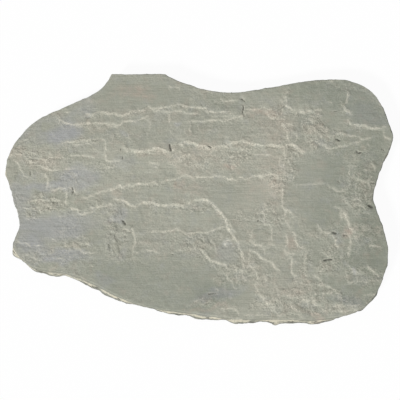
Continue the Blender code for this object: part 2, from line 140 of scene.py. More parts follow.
# Smaller ledges, in the same form
SMALL_LEDGES = (
    # North of the middle
    (0.8, ((18, 122), (20, 119), (30, 120), (47, 120))),
    (0.9, ((45, 127), (47, 122), (49, 117))),
    (1.6, ((47, 117), (56, 118), (66, 120))),
    (0.8, ((-138, 106), (-125, 104), (-117, 104))),
    (0.9, ((-30, 67), (-25, 63), (-20, 60), (-10, 62))),
    (0.8, ((-80, 70), (-75, 66), (-70, 62))),
    (0.9, ((-47, 170), (-44, 167), (-32, 167), (-28, 169))),
    (0.8, ((30, 150), (33, 146), (38, 143), (50, 145), (60, 146))),
    (1.0, ((61, 150), (66, 151), (70, 147))),
    (0.9, ((68, 131), (87, 131), (95, 134), (103, 132), (109, 128))),
    (1.8, ((95, 130), (101, 127), (103, 121), (106, 118), (112, 117), (121, 116))),
    (0.8, ((107, 126), (112, 123), (121, 121))),
    (0.8, ((68, 124), (78, 126))),
    (2.0, ((133, 161), (130, 155), (128, 148), (131, 143), (127, 138), (134, 134), (142, 127))),
    (0.9, ((133, 169), (134, 163))),
    (0.7, ((122, 150), (124, 140), (124, 127))),
    (3.0, ((138, 127), (150, 126), (160, 128), (172, 127))),
    (1.0, ((170, 128), (178, 131), (184, 130))),
    (2.0, ((125, 125), (127, 118), (125, 112), (123, 107), (127, 104), (133, 103))),
    (1.3, ((128, 110), (131, 107), (140, 107))),
    (2.0, ((130, 103), (131, 98), (130, 90), (131, 84), (133, 79))),
    (2.2, ((130, 80), (135, 77), (142, 74), (146, 70), (147, 63))),
    (1.2, ((143, 65), (150, 66), (157, 64))),
    (0.8, ((80, 63), (84, 61), (100, 61), (110, 60))),
    (0.9, ((123, 64), (126, 59), (125, 55), (130, 54))),
    (1.0, ((164, 108), (168, 103), (171, 98), (176, 94), (180, 88), (182, 83))),
    (0.7, ((160, 107), (162, 103), (164, 97))),
    (0.8, ((180, 105), (188, 101), (193, 98))),
    (1.2, ((186, 88), (197, 89), (202, 92), (206, 95), (213, 93), (218, 90), (235, 89),
           (238, 85), (242, 83), (248, 85), (259, 88))),
    (0.9, ((246, 80), (250, 75), (252, 71))),
    (0.8, ((229, 62), (227, 57), (229, 49))),
    (1.0, ((127, 75), (125, 66), (128, 58), (124, 48), (126, 38), (123, 28))),
    (0.8, ((116, 60), (120, 54), (117, 47), (121, 40))),
    (0.9, ((273, 101), (273, 93), (275, 87), (284, 84))),
    (0.7, ((190, 143), (200, 142))),
    (0.8, ((157, 94), (158, 88))),
    # The west
    (1.2, ((-146, 86), (-140, 84), (-137, 80), (-137, 58), (-135, 52), (-130, 50), (-120, 50),
           (-114, 53))),
    (1.2, ((-200, 79), (-191, 80), (-184, 79), (-176, 83), (-168, 82), (-158, 84), (-146, 86))),
    (0.8, ((-186, 75), (-172, 76), (-160, 79), (-149, 80))),
    (1.1, ((-115, 68), (-112, 73), (-108, 68), (-104, 63))),
    (0.8, ((-135, 43), (-129, 40))),
    (0.8, ((-75, 50), (-68, 47), (-57, 48))),
    (0.8, ((-66, 45), (-59, 39))),
    (0.9, ((-108, -26), (-101, -28))),
    (1.6, ((-225, 34), (-222, 27), (-219, 20), (-221, 12), (-218, 7))),
    (1.8, ((-218, 7), (-210, 6), (-203, 9), (-195, 9), (-192, 5), (-192, 0),
           (-193, -8), (-192, -14), (-190, -19))),
    (1.4, ((-246, -10), (-236, -10), (-222, -9), (-208, -8), (-194, -9))),
    (1.0, ((-256, -20), (-245, -22), (-235, -21), (-228, -21))),
    (0.8, ((-228, -20), (-229, -30))),
    (1.4, ((-188, 12), (-183, 8), (-179, 3), (-176, -3))),
    (1.2, ((-269, 51), (-262, 45), (-260, 38), (-257, 32), (-254, 27), (-247, 24))),
    (0.9, ((-271, 60), (-262, 62), (-255, 58), (-250, 52), (-242, 46))),
    (0.8, ((-250, 67), (-249, 62), (-247, 53))),
    (0.8, ((-261, 83), (-247, 84))),
    (1.0, ((-232, 46), (-229, 40), (-215, 37), (-199, 38))),
    (1.0, ((-190, 57), (-179, 59), (-165, 59), (-152, 57))),
    (0.6, ((-199, 38), (-180, 39), (-162, 38))),
    (0.8, ((-201, 126), (-189, 127))),
    (0.7, ((-176, 118), (-159, 121))),
    (0.9, ((-263, -70), (-250, -73), (-245, -74), (-239, -79))),
    (0.8, ((-238, -75), (-224, -78))),
    (1.0, ((-251, -92), (-242, -91), (-238, -94), (-230, -97), (-221, -99))),
    (1.0, ((-195, -70), (-190, -76), (-187, -80))),
    (0.7, ((-213, -67), (-204, -70))),
    (1.0, ((-180, -71), (-178, -77), (-175, -80), (-168, -84), (-163, -87), (-149, -87))),
    (0.7, ((-172, -75), (-154, -75))),
    (0.6, ((-206, -95), (-191, -96))),
    (0.9, ((-156, -105), (-149, -109))),
    (1.3, ((-112, -54), (-105, -52), (-100, -55), (-97, -50), (-94, -54), (-92, -62), (-91, -70),
           (-93, -78), (-94, -88), (-95, -95))),
    (0.7, ((-92, -87), (-83, -87))),
    # South of the middle
    (1.0, ((-4, -9), (2, -12), (8, -13), (15, -16))),
    (1.0, ((36, -116), (41, -122), (44, -128), (49, -132))),
    (1.0, ((64, -100), (63, -107), (61, -114), (62, -121), (66, -127))),
    (1.2, ((52, -117), (54, -124), (55, -132))),
    (1.0, ((-8, -159), (0, -156), (8, -152))),
    (0.9, ((0, -163), (8, -160), (15, -156))),
    (1.4, ((79, -50), (76, -58), (76, -65), (73, -72))),
    (1.3, ((74, -86), (73, -95), (71, -101), (71, -107))),
    (1.5, ((70, -107), (77, -109), (81, -116), (83, -124), (84, -128))),
    (1.2, ((80, -129), (83, -140), (86, -147), (90, -153), (92, -158), (97, -163), (105, -169),
           (111, -175), (117, -181))),
    (0.9, ((90, -119), (94, -124), (97, -129))),
    (0.7, ((107, -130), (110, -137), (111, -146), (115, -155))),
    (0.7, ((62, -176), (75, -177), (90, -176), (100, -177))),
    (0.9, ((99, -157), (103, -163), (108, -167))),
    (1.0, ((72, -66), (76, -71), (81, -75), (88, -76), (98, -78))),
    (0.9, ((28, -168), (40, -168), (48, -167), (55, -171), (57, -179))),
    (0.8, ((25, -137), (27, -144))),
    (0.8, ((44, -130), (48, -135), (53, -142))),
    (1.2, ((50, -105), (53, -110), (56, -117))),
    (0.7, ((-8, -69), (-7, -79))),
    (0.7, ((22, -69), (23, -80), (25, -89))),
    (0.7, ((84, -155), (92, -152), (99, -152))),
    (0.7, ((54, -38), (63, -40))),
    (1.0, ((44, -41), (46, -47), (50, -54), (53, -60))),
    (0.9, ((38, -68), (37, -72), (38, -77), (42, -80))),
    (0.9, ((34, -71), (42, -68), (45, -72))),
    # The band of broken stone in the east
    (1.4, ((124, -22), (130, -25), (135, -29), (141, -33))),
    (1.2, ((106, -36), (115, -36), (123, -37), (125, -41), (129, -45), (132, -50), (131, -55))),
    (1.1, ((131, -56), (136, -57), (139, -61), (138, -67), (141, -73), (144, -78))),
    (1.0, ((124, -57), (126, -64), (127, -70), (125, -78), (121, -83), (124, -87), (138, -88))),
    (1.3, ((131, -89), (132, -97), (132, -113), (135, -118), (137, -125), (136, -132))),
    (0.8, ((136, -118), (140, -122), (144, -127))),
    (1.0, ((88, -43), (92, -46), (103, -46), (107, -50))),
    (1.1, ((104, -50), (104, -58), (103, -64), (105, -68), (102, -77))),
    (1.0, ((93, -11), (95, -18), (92, -25), (93, -30), (97, -35))),
    (0.8, ((92, -81), (94, -89))),
    (0.8, ((137, -97), (140, -105))),
    (1.1, ((139, -76), (147, -79), (154, -83))),
    (1.8, ((154, -83), (153, -92), (150, -98), (151, -108), (150, -116), (154, -124))),
    # Upright joints north of the middle, and the ledge beside them
    (0.2, ((-73, 112), (-72, 104), (-73, 97))),
    (0.6, ((-44, 125), (-43, 116), (-44, 106))),
    (0.6, ((-14, 113), (-13, 100), (-13, 87))),
    (1.2, ((-97, 112), (-89, 114), (-81, 118), (-73, 121))),
    # The east end
    (2.0, ((129, -155), (131, -163), (134, -169), (139, -171), (146, -172))),
    (1.1, ((140, -176), (145, -179), (148, -183))),
    (1.0, ((160, -119), (168, -122), (172, -126), (173, -132))),
    (2.2, ((172, -130), (178, -133), (185, -137), (193, -141), (200, -147))),
    (1.0, ((173, -147), (183, -146), (192, -145))),
    (1.5, ((157, -149), (161, -155), (162, -162), (171, -163), (175, -171), (188, -169))),
    (1.0, ((173, -85), (182, -88), (186, -92), (191, -96))),
    (2.0, ((191, -60), (193, -65), (195, -70), (197, -76), (201, -81))),
    (1.2, ((188, -76), (186, -85), (189, -93))),
    (1.0, ((170, -43), (172, -48), (175, -52), (177, -56), (183, -58), (191, -57))),
    (1.2, ((186, 16), (190, 11), (196, 10), (198, 6), (204, 5), (213, 6))),
    (0.6, ((134, 13), (150, 14), (165, 16), (184, 17))),
    (1.0, ((217, 45), (220, 38), (220, 30), (221, 23))),
    (1.8, ((219, 26), (228, 25), (233, 22), (240, 20), (245, 18), (247, 14), (249, 9))),
    (0.8, ((217, 42), (224, 42), (231, 41))),
    (1.3, ((251, 53), (254, 45), (257, 38), (257, 33), (251, 31))),
    (0.7, ((239, 37), (250, 37))),
    (1.1, ((209, -1), (211, -7), (214, -12), (217, -18))),
    (1.6, ((209, -26), (213, -34), (215, -44), (218, -50), (222, -56), (228, -61))),
    (0.7, ((204, -19), (204, -30), (206, -41))),
    (0.8, ((194, -16), (200, -20), (208, -21))),
    (0.8, ((221, -6), (228, -6))),
    (0.8, ((232, -4), (235, -11), (232, -16))),
    (0.7, ((236, -29), (249, -29))),
    (1.5, ((216, -61), (217, -70), (215, -82), (213, -96))),
    (1.0, ((214, -97), (210, -104), (216, -110), (221, -113))),
    (2.0, ((228, -109), (240, -109), (245, -112), (250, -117), (257, -123))),
    (0.8, ((219, -63), (233, -63))),
    (1.6, ((242, -75), (252, -77), (263, -79))),
    (0.8, ((210, -117), (209, -127))),
    (0.7, ((213, -116), (236, -117))),
    (0.8, ((209, -131), (222, -129), (235, -129), (242, -131))),
    (0.8, ((200, -149), (203, -160), (206, -165))),
    (0.7, ((231, -149), (251, -147))),
    (0.9, ((187, -166), (195, -164), (205, -165), (220, -163), (232, -162))),
    (0.9, ((195, -170), (203, -172), (215, -170), (227, -170))),
    # Those that drop to the north or the east, and so lie in shade
    (1.0, ((-113, -101), (-114, -90), (-115, -80), (-118, -72), (-120, -65), (-118, -55),
           (-119, -42))),
    (0.9, ((-125, -91), (-128, -85), (-129, -75), (-127, -64))),
    (1.0, ((-116, -38), (-112, -32), (-114, -19))),
    (0.9, ((214, -25), (211, -23))),
    (0.8, ((197, -42), (186, -42))),
    (0.9, ((-149, -103), (-155, -101))),
)

# Open cracks, in millimetres: depth, half width, and the line
CRACKS = (
    (2.4, 1.2, ((-40, 65), (-42, 70), (-43, 77))),
    (1.6, 0.9, ((67, 119), (65, 127), (66, 134), (64, 141))),
    (1.4, 0.8, ((61, 149), (65, 146), (69, 143))),
    (1.4, 0.8, ((9, -145), (15, -147), (21, -146), (27, -147))),
    (2.0, 1.2, ((-111, -38), (-108, -41), (-105, -46))),
    (2.0, 1.0, ((13, 75), (16, 72), (19, 71))),
    (1.5, 1.0, ((-245, 28), (-246, 36))),
    (1.6, 1.0, ((-184, 11), (-182, 5), (-183, 0))),
    (2.6, 1.6, ((244, -16), (248, -18), (252, -20))),
    (2.4, 1.3, ((191, -57), (198, -59))),
    (1.4, 0.9, ((194, -66), (200, -66))),
    (1.6, 1.1, ((206, -61), (214, -62))),
    (2.2, 1.1, ((176, -99), (184, -97), (191, -97))),
    (2.4, 1.2, ((200, 85), (204, 84), (208, 81))),
    (2.2, 1.2, ((229, 66), (234, 63), (239, 64))),
    (1.4, 0.9, ((201, 21), (205, 17))),
    (1.2, 0.8, ((-116, 65), (-114, 71))),
    (1.4, 0.9, ((-111, 52), (-112, 60))),
    (1.4, 0.9, ((106, 10), (112, 9))),
    (1.5, 0.9, ((83, -41), (87, -38))),
    (1.2, 0.7, ((57, -34), (62, -33))),
    (1.2, 0.8, ((197, 127), (206, 128))),
    (1.4, 0.9, ((267, 70), (272, 66))),
    (1.4, 0.9, ((249, 16), (256, 17))),
    (1.2, 0.8, ((227, -9), (232, -10))),
    (1.2, 0.8, ((-41, -88), (-35, -91))),
    (0.8, 1.1, ((236, -162), (243, -157), (250, -149))),
)

# Crumbled patches of the split face, in millimetres: middle, half length along X and along Y, and
# strength
CRUMBLED = (
    ((-240, 57), (34, 15), 0.9),
    ((-188, 64), (28, 12), 0.6),
    ((-185, 30), (26, 16), 0.5),
    ((-132, 40), (24, 12), 0.6),
    ((-105, 90), (30, 16), 0.45),
    ((10, 55), (48, 12), 0.75),
    ((60, 65), (18, 17), 0.9),
    ((-40, 52), (24, 13), 0.45),
    ((115, 15), (16, 24), 0.9),
    ((98, -35), (14, 24), 0.85),
    ((66, -30), (22, 11), 0.6),
    ((5, -15), (24, 6), 0.75),
    ((124, 128), (16, 26), 0.55),
    ((170, 103), (18, 24), 0.95),
    ((202, 90), (16, 12), 0.7),
    ((232, 0), (26, 32), 0.75),
    ((252, 42), (14, 20), 0.6),
    ((235, -58), (30, 18), 0.55),
    ((190, -92), (26, 24), 0.65),
    ((230, -122), (30, 14), 0.6),
    ((72, -115), (30, 34), 0.6),
    ((98, -162), (22, 20), 0.8),
    ((60, -132), (20, 12), 0.5),
    ((155, -160), (46, 22), 0.8),
    ((150, -110), (14, 50), 0.7),
    ((0, -75), (26, 14), 0.7),
    ((40, -122), (14, 16), 0.75),
    ((228, -158), (26, 10), 0.75),
    ((200, -166), (14, 9), 0.75),
    ((6, -156), (14, 7), 0.7),
    ((-40, -70), (22, 10), 0.4),
    ((-172, -77), (24, 12), 0.55),
    ((-225, -88), (28, 13), 0.55),
    ((-225, -21), (32, 13), 0.9),
    ((-135, -20), (26, 11), 0.6),
    ((-120, -65), (16, 42), 0.65),
    ((-10, 98), (46, 14), 0.35),
    ((220, -168), (30, 8), 0.5),
    ((128, 45), (12, 24), 0.8),
    ((131, 85), (12, 24), 0.7),
    ((140, 68), (14, 10), 0.85),
    ((-172, 82), (30, 6), 0.75),
    ((190, 62), (14, 10), 0.4),
)
BACKGROUND_CRUMBLE = 0.34

# Plates that stayed whole, in millimetres: middle, and half length along X and along Y
WHOLE = (
    ((-50, -130), (90, 34)),
    ((172, 5), (32, 48)),
    ((180, 48), (28, 16)),
    ((-215, 95), (30, 14)),
    ((65, 0), (52, 22)),
    ((-40, 2), (70, 7)),
    ((-100, 150), (46, 22)),
    ((170, 157), (44, 13)),
    ((238, 138), (26, 24)),
    ((-225, -48), (34, 14)),
    ((243, -92), (20, 14)),
    ((55, -148), (20, 12)),
    ((75, -168), (16, 5)),
    ((120, -70), (14, 8)),
    ((122, -115), (9, 26)),
    ((161, -86), (8, 12)),
    ((163, -112), (9, 10)),
    ((93, -107), (14, 8)),
    ((68, -150), (12, 16)),
    ((184, -158), (9, 7)),
    ((220, -149), (14, 12)),
    ((92, -62), (11, 11)),
    ((-178, 62), (18, 6)),
    ((-245, 5), (20, 12)),
    ((-150, 30), (30, 8)),
)

# Stains of the stone, in millimetres: middle, half length along X and along Y, warmth from -1 for
# blue-grey to 1 for pink, and lightness
STAINS = (
    # Pink and blue-grey
    ((-98, 160), (24, 11), 0.35, 0.00),
    ((-78, 152), (12, 8), 0.25, 0.00),
    ((90, 124), (22, 9), 0.45, 0.10),
    ((110, 80), (20, 50), 0.22, 0.00),
    ((-20, 65), (60, 10), 0.20, 0.00),
    ((112, 0), (22, 36), 0.10, 0.00),
    ((76, -102), (24, 16), 0.15, 0.00),
    ((-150, 112), (22, 10), 0.20, 0.00),
    ((132, -72), (10, 12), 0.50, 0.00),
    ((165, -177), (12, 6), 0.50, 0.00),
    ((42, 44), (8, 6), 0.55, -0.50),
    ((208, -53), (8, 7), 0.60, 0.30),
    ((-27, 20), (9, 5), 0.50, 0.00),
    ((-15, 10), (18, 6), 0.25, 0.00),
    ((-228, 108), (12, 9), 0.35, 0.00),
    ((-126, -3), (8, 6), 0.30, 0.00),
    ((10, -172), (34, 4), 0.30, 0.00),
    ((112, 20), (20, 16), 0.15, 0.40),
    ((-240, 58), (32, 16), 0.20, 0.30),
    ((216, -152), (20, 13), -0.40, -1.00),
    ((42, -90), (13, 16), -0.30, -0.10),
    ((25, -151), (34, 8), -0.40, -0.20),
    ((90, -143), (14, 8), -0.25, 0.00),
    ((198, -60), (8, 8), -0.30, 0.00),
    ((41, -73), (4, 6), -0.20, 1.00),
    ((212, -35), (5, 16), 0.15, 1.30),
    ((221, -56), (8, 5), 0.20, 1.40),
    ((240, -50), (16, 40), 0.00, -0.80),
    ((225, -95), (26, 12), 0.00, -0.50),
    ((-215, 100), (40, 28), -0.30, 0.00),
    ((-165, 142), (22, 12), -0.30, 0.00),
    ((-232, -92), (34, 20), -0.30, 0.00),
    ((219, -108), (5, 5), -0.50, 1.20),
    ((200, -166), (14, 9), 0.00, 0.40),
    ((-32, 107), (6, 5), -0.50, 0.30),
    ((-109, 95), (6, 5), -0.40, 0.30),
    ((128, 135), (6, 22), 0.05, 0.50),
    ((139, 70), (12, 8), 0.10, 0.60),
    ((6, -155), (14, 6), 0.00, -0.60),
    ((29, -147), (4, 7), 0.00, 0.90),
    ((41, -156), (4, 5), -0.20, 0.90),
    ((-215, -48), (60, 22), -0.62, 0.05),
    ((-190, -95), (30, 12), -0.60, 0.00),
    ((-245, -80), (22, 14), -0.40, 0.00),
    ((-182, 24), (30, 16), -0.55, 0.05),
    ((-225, 12), (26, 10), -0.55, 0.05),
    ((-256, -6), (14, 22), -0.45, 0.00),
    ((-200, 95), (24, 14), -0.50, 0.00),
    ((-175, 128), (18, 8), -0.25, 0.00),
    ((-110, 42), (14, 12), -0.25, 0.00),
    ((-120, -35), (16, 14), -0.50, -0.10),
    ((-112, -92), (12, 8), -0.30, 0.00),
    ((-130, -125), (16, 10), -0.30, 0.00),
    # Lighter and darker plates
    ((-85, 160), (52, 22), 0.00, -0.40),
    ((225, 150), (55, 26), -0.10, -0.95),
    ((250, 122), (28, 16), -0.20, -1.20),
    ((170, 156), (46, 18), 0.00, -0.75),
    ((172, 100), (40, 30), 0.00, -0.30),
    ((240, 90), (40, 20), 0.00, -0.25),
    ((175, 15), (44, 60), -0.05, -0.50),
    ((225, 40), (40, 44), 0.00, -0.60),
    ((248, 0), (24, 40), 0.00, -0.80),
    ((252, -45), (24, 44), 0.00, -1.00),
    ((188, -60), (44, 40), 0.00, -0.50),
    ((245, -92), (30, 22), 0.00, -1.00),
    ((205, -125), (50, 36), 0.00, -0.35),
    ((150, -150), (40, 28), 0.00, -0.20),
    ((-50, -138), (100, 44), -0.05, -0.85),
    ((30, -148), (40, 16), 0.00, -0.60),
    ((-170, -112), (70, 18), 0.00, -0.50),
    ((10, -172), (60, 8), 0.00, -0.40),
    ((30, 48), (100, 26), 0.10, 0.50),
    ((-90, 50), (60, 26), 0.00, 0.55),
    ((-190, 62), (60, 28), 0.00, 0.35),
    ((-200, 10), (50, 34), 0.00, 0.20),
    ((100, 72), (30, 14), 0.00, 0.45),
    ((-50, -2), (80, 16), 0.00, 0.30),
    ((85, 0), (34, 26), 0.08, 0.40),
    ((-20, -34), (60, 16), 0.00, 0.45),
    ((-110, 20), (70, 26), 0.00, 0.25),
    ((95, -90), (36, 34), 0.00, 0.25),
    ((95, -150), (40, 26), 0.10, 0.35),
    ((50, -173), (11, 3), 0.00, 0.80),
    ((262, -30), (22, 120), 0.00, -0.90),
    ((225, 0), (50, 220), 0.00, -0.22),
    ((150, 172), (100, 12), 0.00, -0.60),
    ((42, 148), (36, 10), 0.00, -0.60),
    ((235, -140), (44, 24), 0.00, -0.55),
    ((262, 95), (20, 60), 0.00, -0.35),
    ((170, 110), (30, 20), 0.00, -0.30),
    ((-170, -30), (60, 14), 0.00, 0.30),
    ((10, 140), (70, 8), 0.00, -0.25),
)

# Places where the foot of the edge stands further out than elsewhere, or lies further in: where,
# how far, and along what length
SPALLS = (
    ((-0.266, -0.080), 0.0085, 0.010),
    ((-0.248, -0.100), -0.0012, 0.008),
    ((-0.210, -0.114), 0.0013, 0.012),
    ((-0.193, -0.117), -0.0026, 0.007),
    ((-0.162, -0.127), 0.0020, 0.016),
    ((-0.133, -0.141), 0.0048, 0.012),
    ((-0.092, -0.160), -0.0030, 0.010),
    ((-0.074, -0.165), -0.0042, 0.013),
    ((-0.018, -0.174), -0.0018, 0.007),
    ((0.000, -0.176), 0.0020, 0.009),
    ((0.036, -0.181), -0.0030, 0.010),
    ((0.060, -0.182), 0.0022, 0.014),
    ((0.078, -0.182), 0.0014, 0.006),
    ((0.109, -0.183), 0.0050, 0.006),
    ((0.123, -0.183), 0.0026, 0.009),
    ((0.172, -0.183), 0.0024, 0.014),
    ((0.206, -0.177), -0.0072, 0.013),
    ((0.228, -0.168), -0.0030, 0.009),
    ((0.2325, -0.166), 0.0024, 0.004),
    ((0.2400, -0.159), -0.0018, 0.005),
    ((0.2540, -0.144), 0.0020, 0.004),
    ((-0.283, 0.037), 0.0060, 0.010),
)
# Places where the chiselled edge looks different: where, along what length, how much deeper the
# weathered grey reaches, how much more fresh the rest is, and how much higher its dark foot starts
EDGE_TONES = (
    ((-0.283, 0.037), 0.010, -0.05, 0.10, 0.00),
    ((-0.240, -0.105), 0.022, 0.03, -0.15, 0.00),
    ((-0.180, -0.120), 0.018, 0.14, -0.40, -0.10),
    ((-0.128, -0.144), 0.012, -0.04, 0.05, 0.00),
    ((-0.075, -0.165), 0.016, 0.20, -0.95, -0.10),
    ((-0.032, -0.171), 0.008, 0.00, 0.10, 0.16),
    ((-0.006, -0.175), 0.010, 0.00, 0.10, 0.05),
    ((0.025, -0.179), 0.008, -0.08, 0.00, 0.00),
    ((0.038, -0.181), 0.006, 0.15, -0.20, 0.00),
    ((0.056, -0.182), 0.010, -0.15, 0.05, 0.00),
    ((0.076, -0.182), 0.006, 0.00, -0.20, 0.30),
    ((0.092, -0.182), 0.007, 0.14, 0.00, -0.05),
    ((0.110, -0.183), 0.010, -0.15, -0.10, -0.08),
    ((0.128, -0.183), 0.010, -0.10, 0.05, 0.12),
    ((0.146, -0.183), 0.010, 0.00, 0.00, 0.26),
    ((0.178, -0.182), 0.009, -0.06, 0.10, 0.22),
    ((0.206, -0.177), 0.016, 0.10, -0.50, 0.05),
    ((0.240, -0.158), 0.026, 0.20, -0.90, 0.25),
)

# Sides, seen from above: toward the key light, where steep faces get painted highlight, and away
# from it, where the arris gets painted shade
KEY_LIGHT_SIDE = (-0.6, -0.8)
SHADED_ARRIS_SIDE = (0.62, 0.78)

# Strips beside a ledge: the length over which its line starts, how far from the ledge the line can
# wander and where it fades, the pale fresh stone with painted highlight, the dark line at its foot
# on the sunlit side, the soil and painted shade where it faces away, and the broken stone on the
# low and on the high side
LINE_END = 0.0025
LINE_REACH = 0.0065
LINE_FADE = 0.0035
PALE_REACH = 0.0044
SUNNY_FOOT_OFFSET = 0.0032
SUNNY_FOOT_REACH = 0.0022
SHADED_FOOT_REACH = 0.0024
DEBRIS_BELOW = 0.014
DEBRIS_ABOVE = 0.005

# Width of the light lips of a crack, and height of the grit all over the split face
CRACK_LIP = 0.0018
FINE_GRIT = 0.00006

# Chiselled edge: depths of its rings as shares of the stone's height, nicks in its top line, how
# far its belly stands out, rounding of the foot, chamfer of the sawn underside, how far bedding
# layers and grit stand out, and the chisel blows' random seed
EDGE_DEPTHS = (
    0.035, 0.075, 0.14, 0.22, 0.31, 0.40, 0.49, 0.58, 0.67, 0.76, 0.84, 0.91, 0.96, 1.0)
NICK_DEPTH = 0.0005
BELLY_REACH = 0.0007
FOOT_ROUND = 0.0008
SAWN_CHAMFER = 0.0012
LAYER_JUT = 0.00075
EDGE_GRIT = 0.00045
BITE_SEED = 11

# Spacing of the points of the edge line
EDGE_SPACING = 0.0004

# Random values along each side of the lattices of noise and plates, after which they repeat
LATTICE = 256

# Distance to a ledge in millimetres, or to a plate in plates, that counts as out of reach
FAR = 9.0

# Names of the masks, in the order in which the surface's functions give them
# The first mask is fresh stone and painted highlight, the second soil and painted shade, and the
# fifth the painted highlight line on ledges toward the key light
MASKS = ("fresh", "soil_and_shade", "crumbled", "ledge_gap", "sunlit_ledge_face", "warmth", "lightness",
         "edge_depth", "sawn")

# Scales along X, Y and Z that stretch noise into lamination: long thin streaks along X on the
# face, and level bands down the edge
LAMINATION = (8.0, 130.0, 90.0)


class PaverShape(bpy.types.PropertyGroup):
    """Sizes of the stone's surface."""

    level: FloatProperty(
        name="Level", description="Underside to the mean level of the split face",
        default=0.034, unit="LENGTH")
    swell: FloatProperty(
        name="Swell", description="Height of the slow waves in the bedding",
        default=0.0006, unit="LENGTH")
    swell_length: FloatProperty(
        name="Swell Length", description="Length of the slow waves in the bedding",
        default=0.110, unit="LENGTH")
    ledge_width: FloatProperty(
        name="Ledge Width", description="Width of a ledge's steep face seen from above",
        default=0.0018, unit="LENGTH")
    ledge_reach: FloatProperty(
        name="Ledge Reach", description="Distance over which a plate settles behind its ledge",
        default=0.030, unit="LENGTH")
    ledge_fade: FloatProperty(
        name="Ledge Fade", description="Length over which a ledge dies out at its ends",
        default=0.006, unit="LENGTH")
    raggedness: FloatProperty(
        name="Raggedness", description="How far the ledges wander off their lines",
        default=0.0008, unit="LENGTH")
    terrace: FloatProperty(
        name="Terrace", description="Height of the thin plates that break off in between",
        default=0.0006, unit="LENGTH")
    lamina: FloatProperty(
        name="Lamina", description="Height of the fine lamination along the stone",
        default=0.00010, unit="LENGTH")
    crumble: FloatProperty(
        name="Crumble", description="Height of the relief inside the crumbled patches",
        default=0.0008, unit="LENGTH")
    arris: FloatProperty(
        name="Arris", description="Rounding of the top edge",
        default=0.0009, unit="LENGTH")
    bite_length: FloatProperty(
        name="Bite Length", description="Length of one chisel bite along the edge",
        default=0.031, unit="LENGTH")
    bite_depth: FloatProperty(
        name="Bite Depth", description="Depth of the deepest chisel bite",
        default=0.0016, unit="LENGTH")
    undercut: FloatProperty(
        name="Undercut", description="How far the foot of the edge lies inside its arris",
        default=0.0004, unit="LENGTH")
    layer: FloatProperty(
        name="Layer", description="Thickness of the bedding layers that show on the edge",
        default=0.0045, unit="LENGTH")
    columns: IntProperty(
        name="Columns", description="Grid points along the stone's length", default=360, min=8)
    rows: IntProperty(
        name="Rows", description="Grid points across the stone", default=220, min=8)


class PaverColours(bpy.types.PropertyGroup):
    """Colours of the stone."""

    body: FloatVectorProperty(
        name="Body", description="Grey-green of the flat plates",
        default=(0.365, 0.367, 0.306), subtype="COLOR", size=3, min=0.0, max=1.0)
    cool: FloatVectorProperty(
        name="Cool", description="Blue-grey stains",
        default=(0.338, 0.346, 0.356), subtype="COLOR", size=3, min=0.0, max=1.0)
    olive: FloatVectorProperty(
        name="Olive", description="Darker, greener streaks",
        default=(0.274, 0.292, 0.236), subtype="COLOR", size=3, min=0.0, max=1.0)
    # Cream is fresh stone, and also painted highlight on ledges and plate borders toward the key
    # light
    cream: FloatVectorProperty(
        name="Cream", description="Fresh stone on the ledges",
        default=(0.560, 0.535, 0.448), subtype="COLOR", size=3, min=0.0, max=1.0)
    straw: FloatVectorProperty(
        name="Straw", description="Fresh stone on the chiselled edge",
        default=(0.640, 0.590, 0.460), subtype="COLOR", size=3, min=0.0, max=1.0)
    blush: FloatVectorProperty(
        name="Blush", description="Pink iron stains",
        default=(0.420, 0.350, 0.288), subtype="COLOR", size=3, min=0.0, max=1.0)
    # Shade is soil and painted shade: in cracks and chips, on faces away from the key light, along
    # the arris away from it and along the foot
    shade: FloatVectorProperty(
        name="Shade", description="Soil in cracks and along the foot",
        default=(0.105, 0.105, 0.088), subtype="COLOR", size=3, min=0.0, max=1.0)


class PaverStage(bpy.types.PropertyGroup):
    """Camera, light and floor."""

    camera_elevation: FloatProperty(
        name="Camera Elevation", description="Height of the camera above the horizon",
        default=math.radians(74), subtype="ANGLE")
    camera_aim: FloatVectorProperty(
        name="Camera Aim", description="Point on the split face that the camera looks at",
        default=(0.00107, -0.01017, 0.034), subtype="XYZ", unit="LENGTH", size=3)
    camera_distance: FloatProperty(
        name="Camera Distance", description="Camera to the middle of the view",
        default=1.6078, unit="LENGTH")
    lens: FloatProperty(
        name="Lens", description="Focal length on a 36 mm wide sensor, in millimetres",
        default=100.0)
    key_azimuth: FloatProperty(
        name="Key Azimuth", description="Direction that the key light comes from, from +X",
        default=math.radians(232), subtype="ANGLE")
    key_elevation: FloatProperty(
        name="Key Elevation", description="Height of the key light above the horizon",
        default=math.radians(40), subtype="ANGLE")
    key_share: FloatProperty(
        name="Key Share", description="Part of the light on a level surface that is key light",
        default=0.60, min=0.0, max=1.0)
    key_softness: FloatProperty(
        name="Key Softness", description="Apparent size of the key light",
        default=math.radians(9), subtype="ANGLE")
    floor_radius: FloatProperty(
        name="Floor Radius", description="Radius of the round floor",
        default=6.0, unit="LENGTH")


def smooth_path(points, spacing, closed=False):
    """Points at an even spacing along the Catmull-Rom curve through the given ones."""
    given = np.array(points)
    ends = 2 * given[0] - given[1], 2 * given[-1] - given[-2]
    padded = np.vstack([ends[0], given, ends[1]])
    t = np.linspace(0, 1, 24, endpoint=False)[:, None]
    spans = []
    for before, start, end, after in zip(padded, padded[1:], padded[2:], padded[3:]):
        spans.append(0.5 * (
            2 * start
            + (end - before) * t
            + (2 * before - 5 * start + 4 * end - after) * t**2
            + (3 * start - before - 3 * end + after) * t**3
        ))
    curve = np.vstack([*spans, given[-1:], given[:1]] if closed else [*spans, given[-1:]])
    run = np.concatenate([[0], np.cumsum(np.linalg.norm(np.diff(curve, axis=0), axis=1))])
    count = max(2, round(run[-1] / spacing))
    places = np.linspace(0, run[-1], count + 1)[: count if closed else count + 1]
    return np.column_stack([np.interp(places, run, curve[:, k]) for k in (0, 1)])


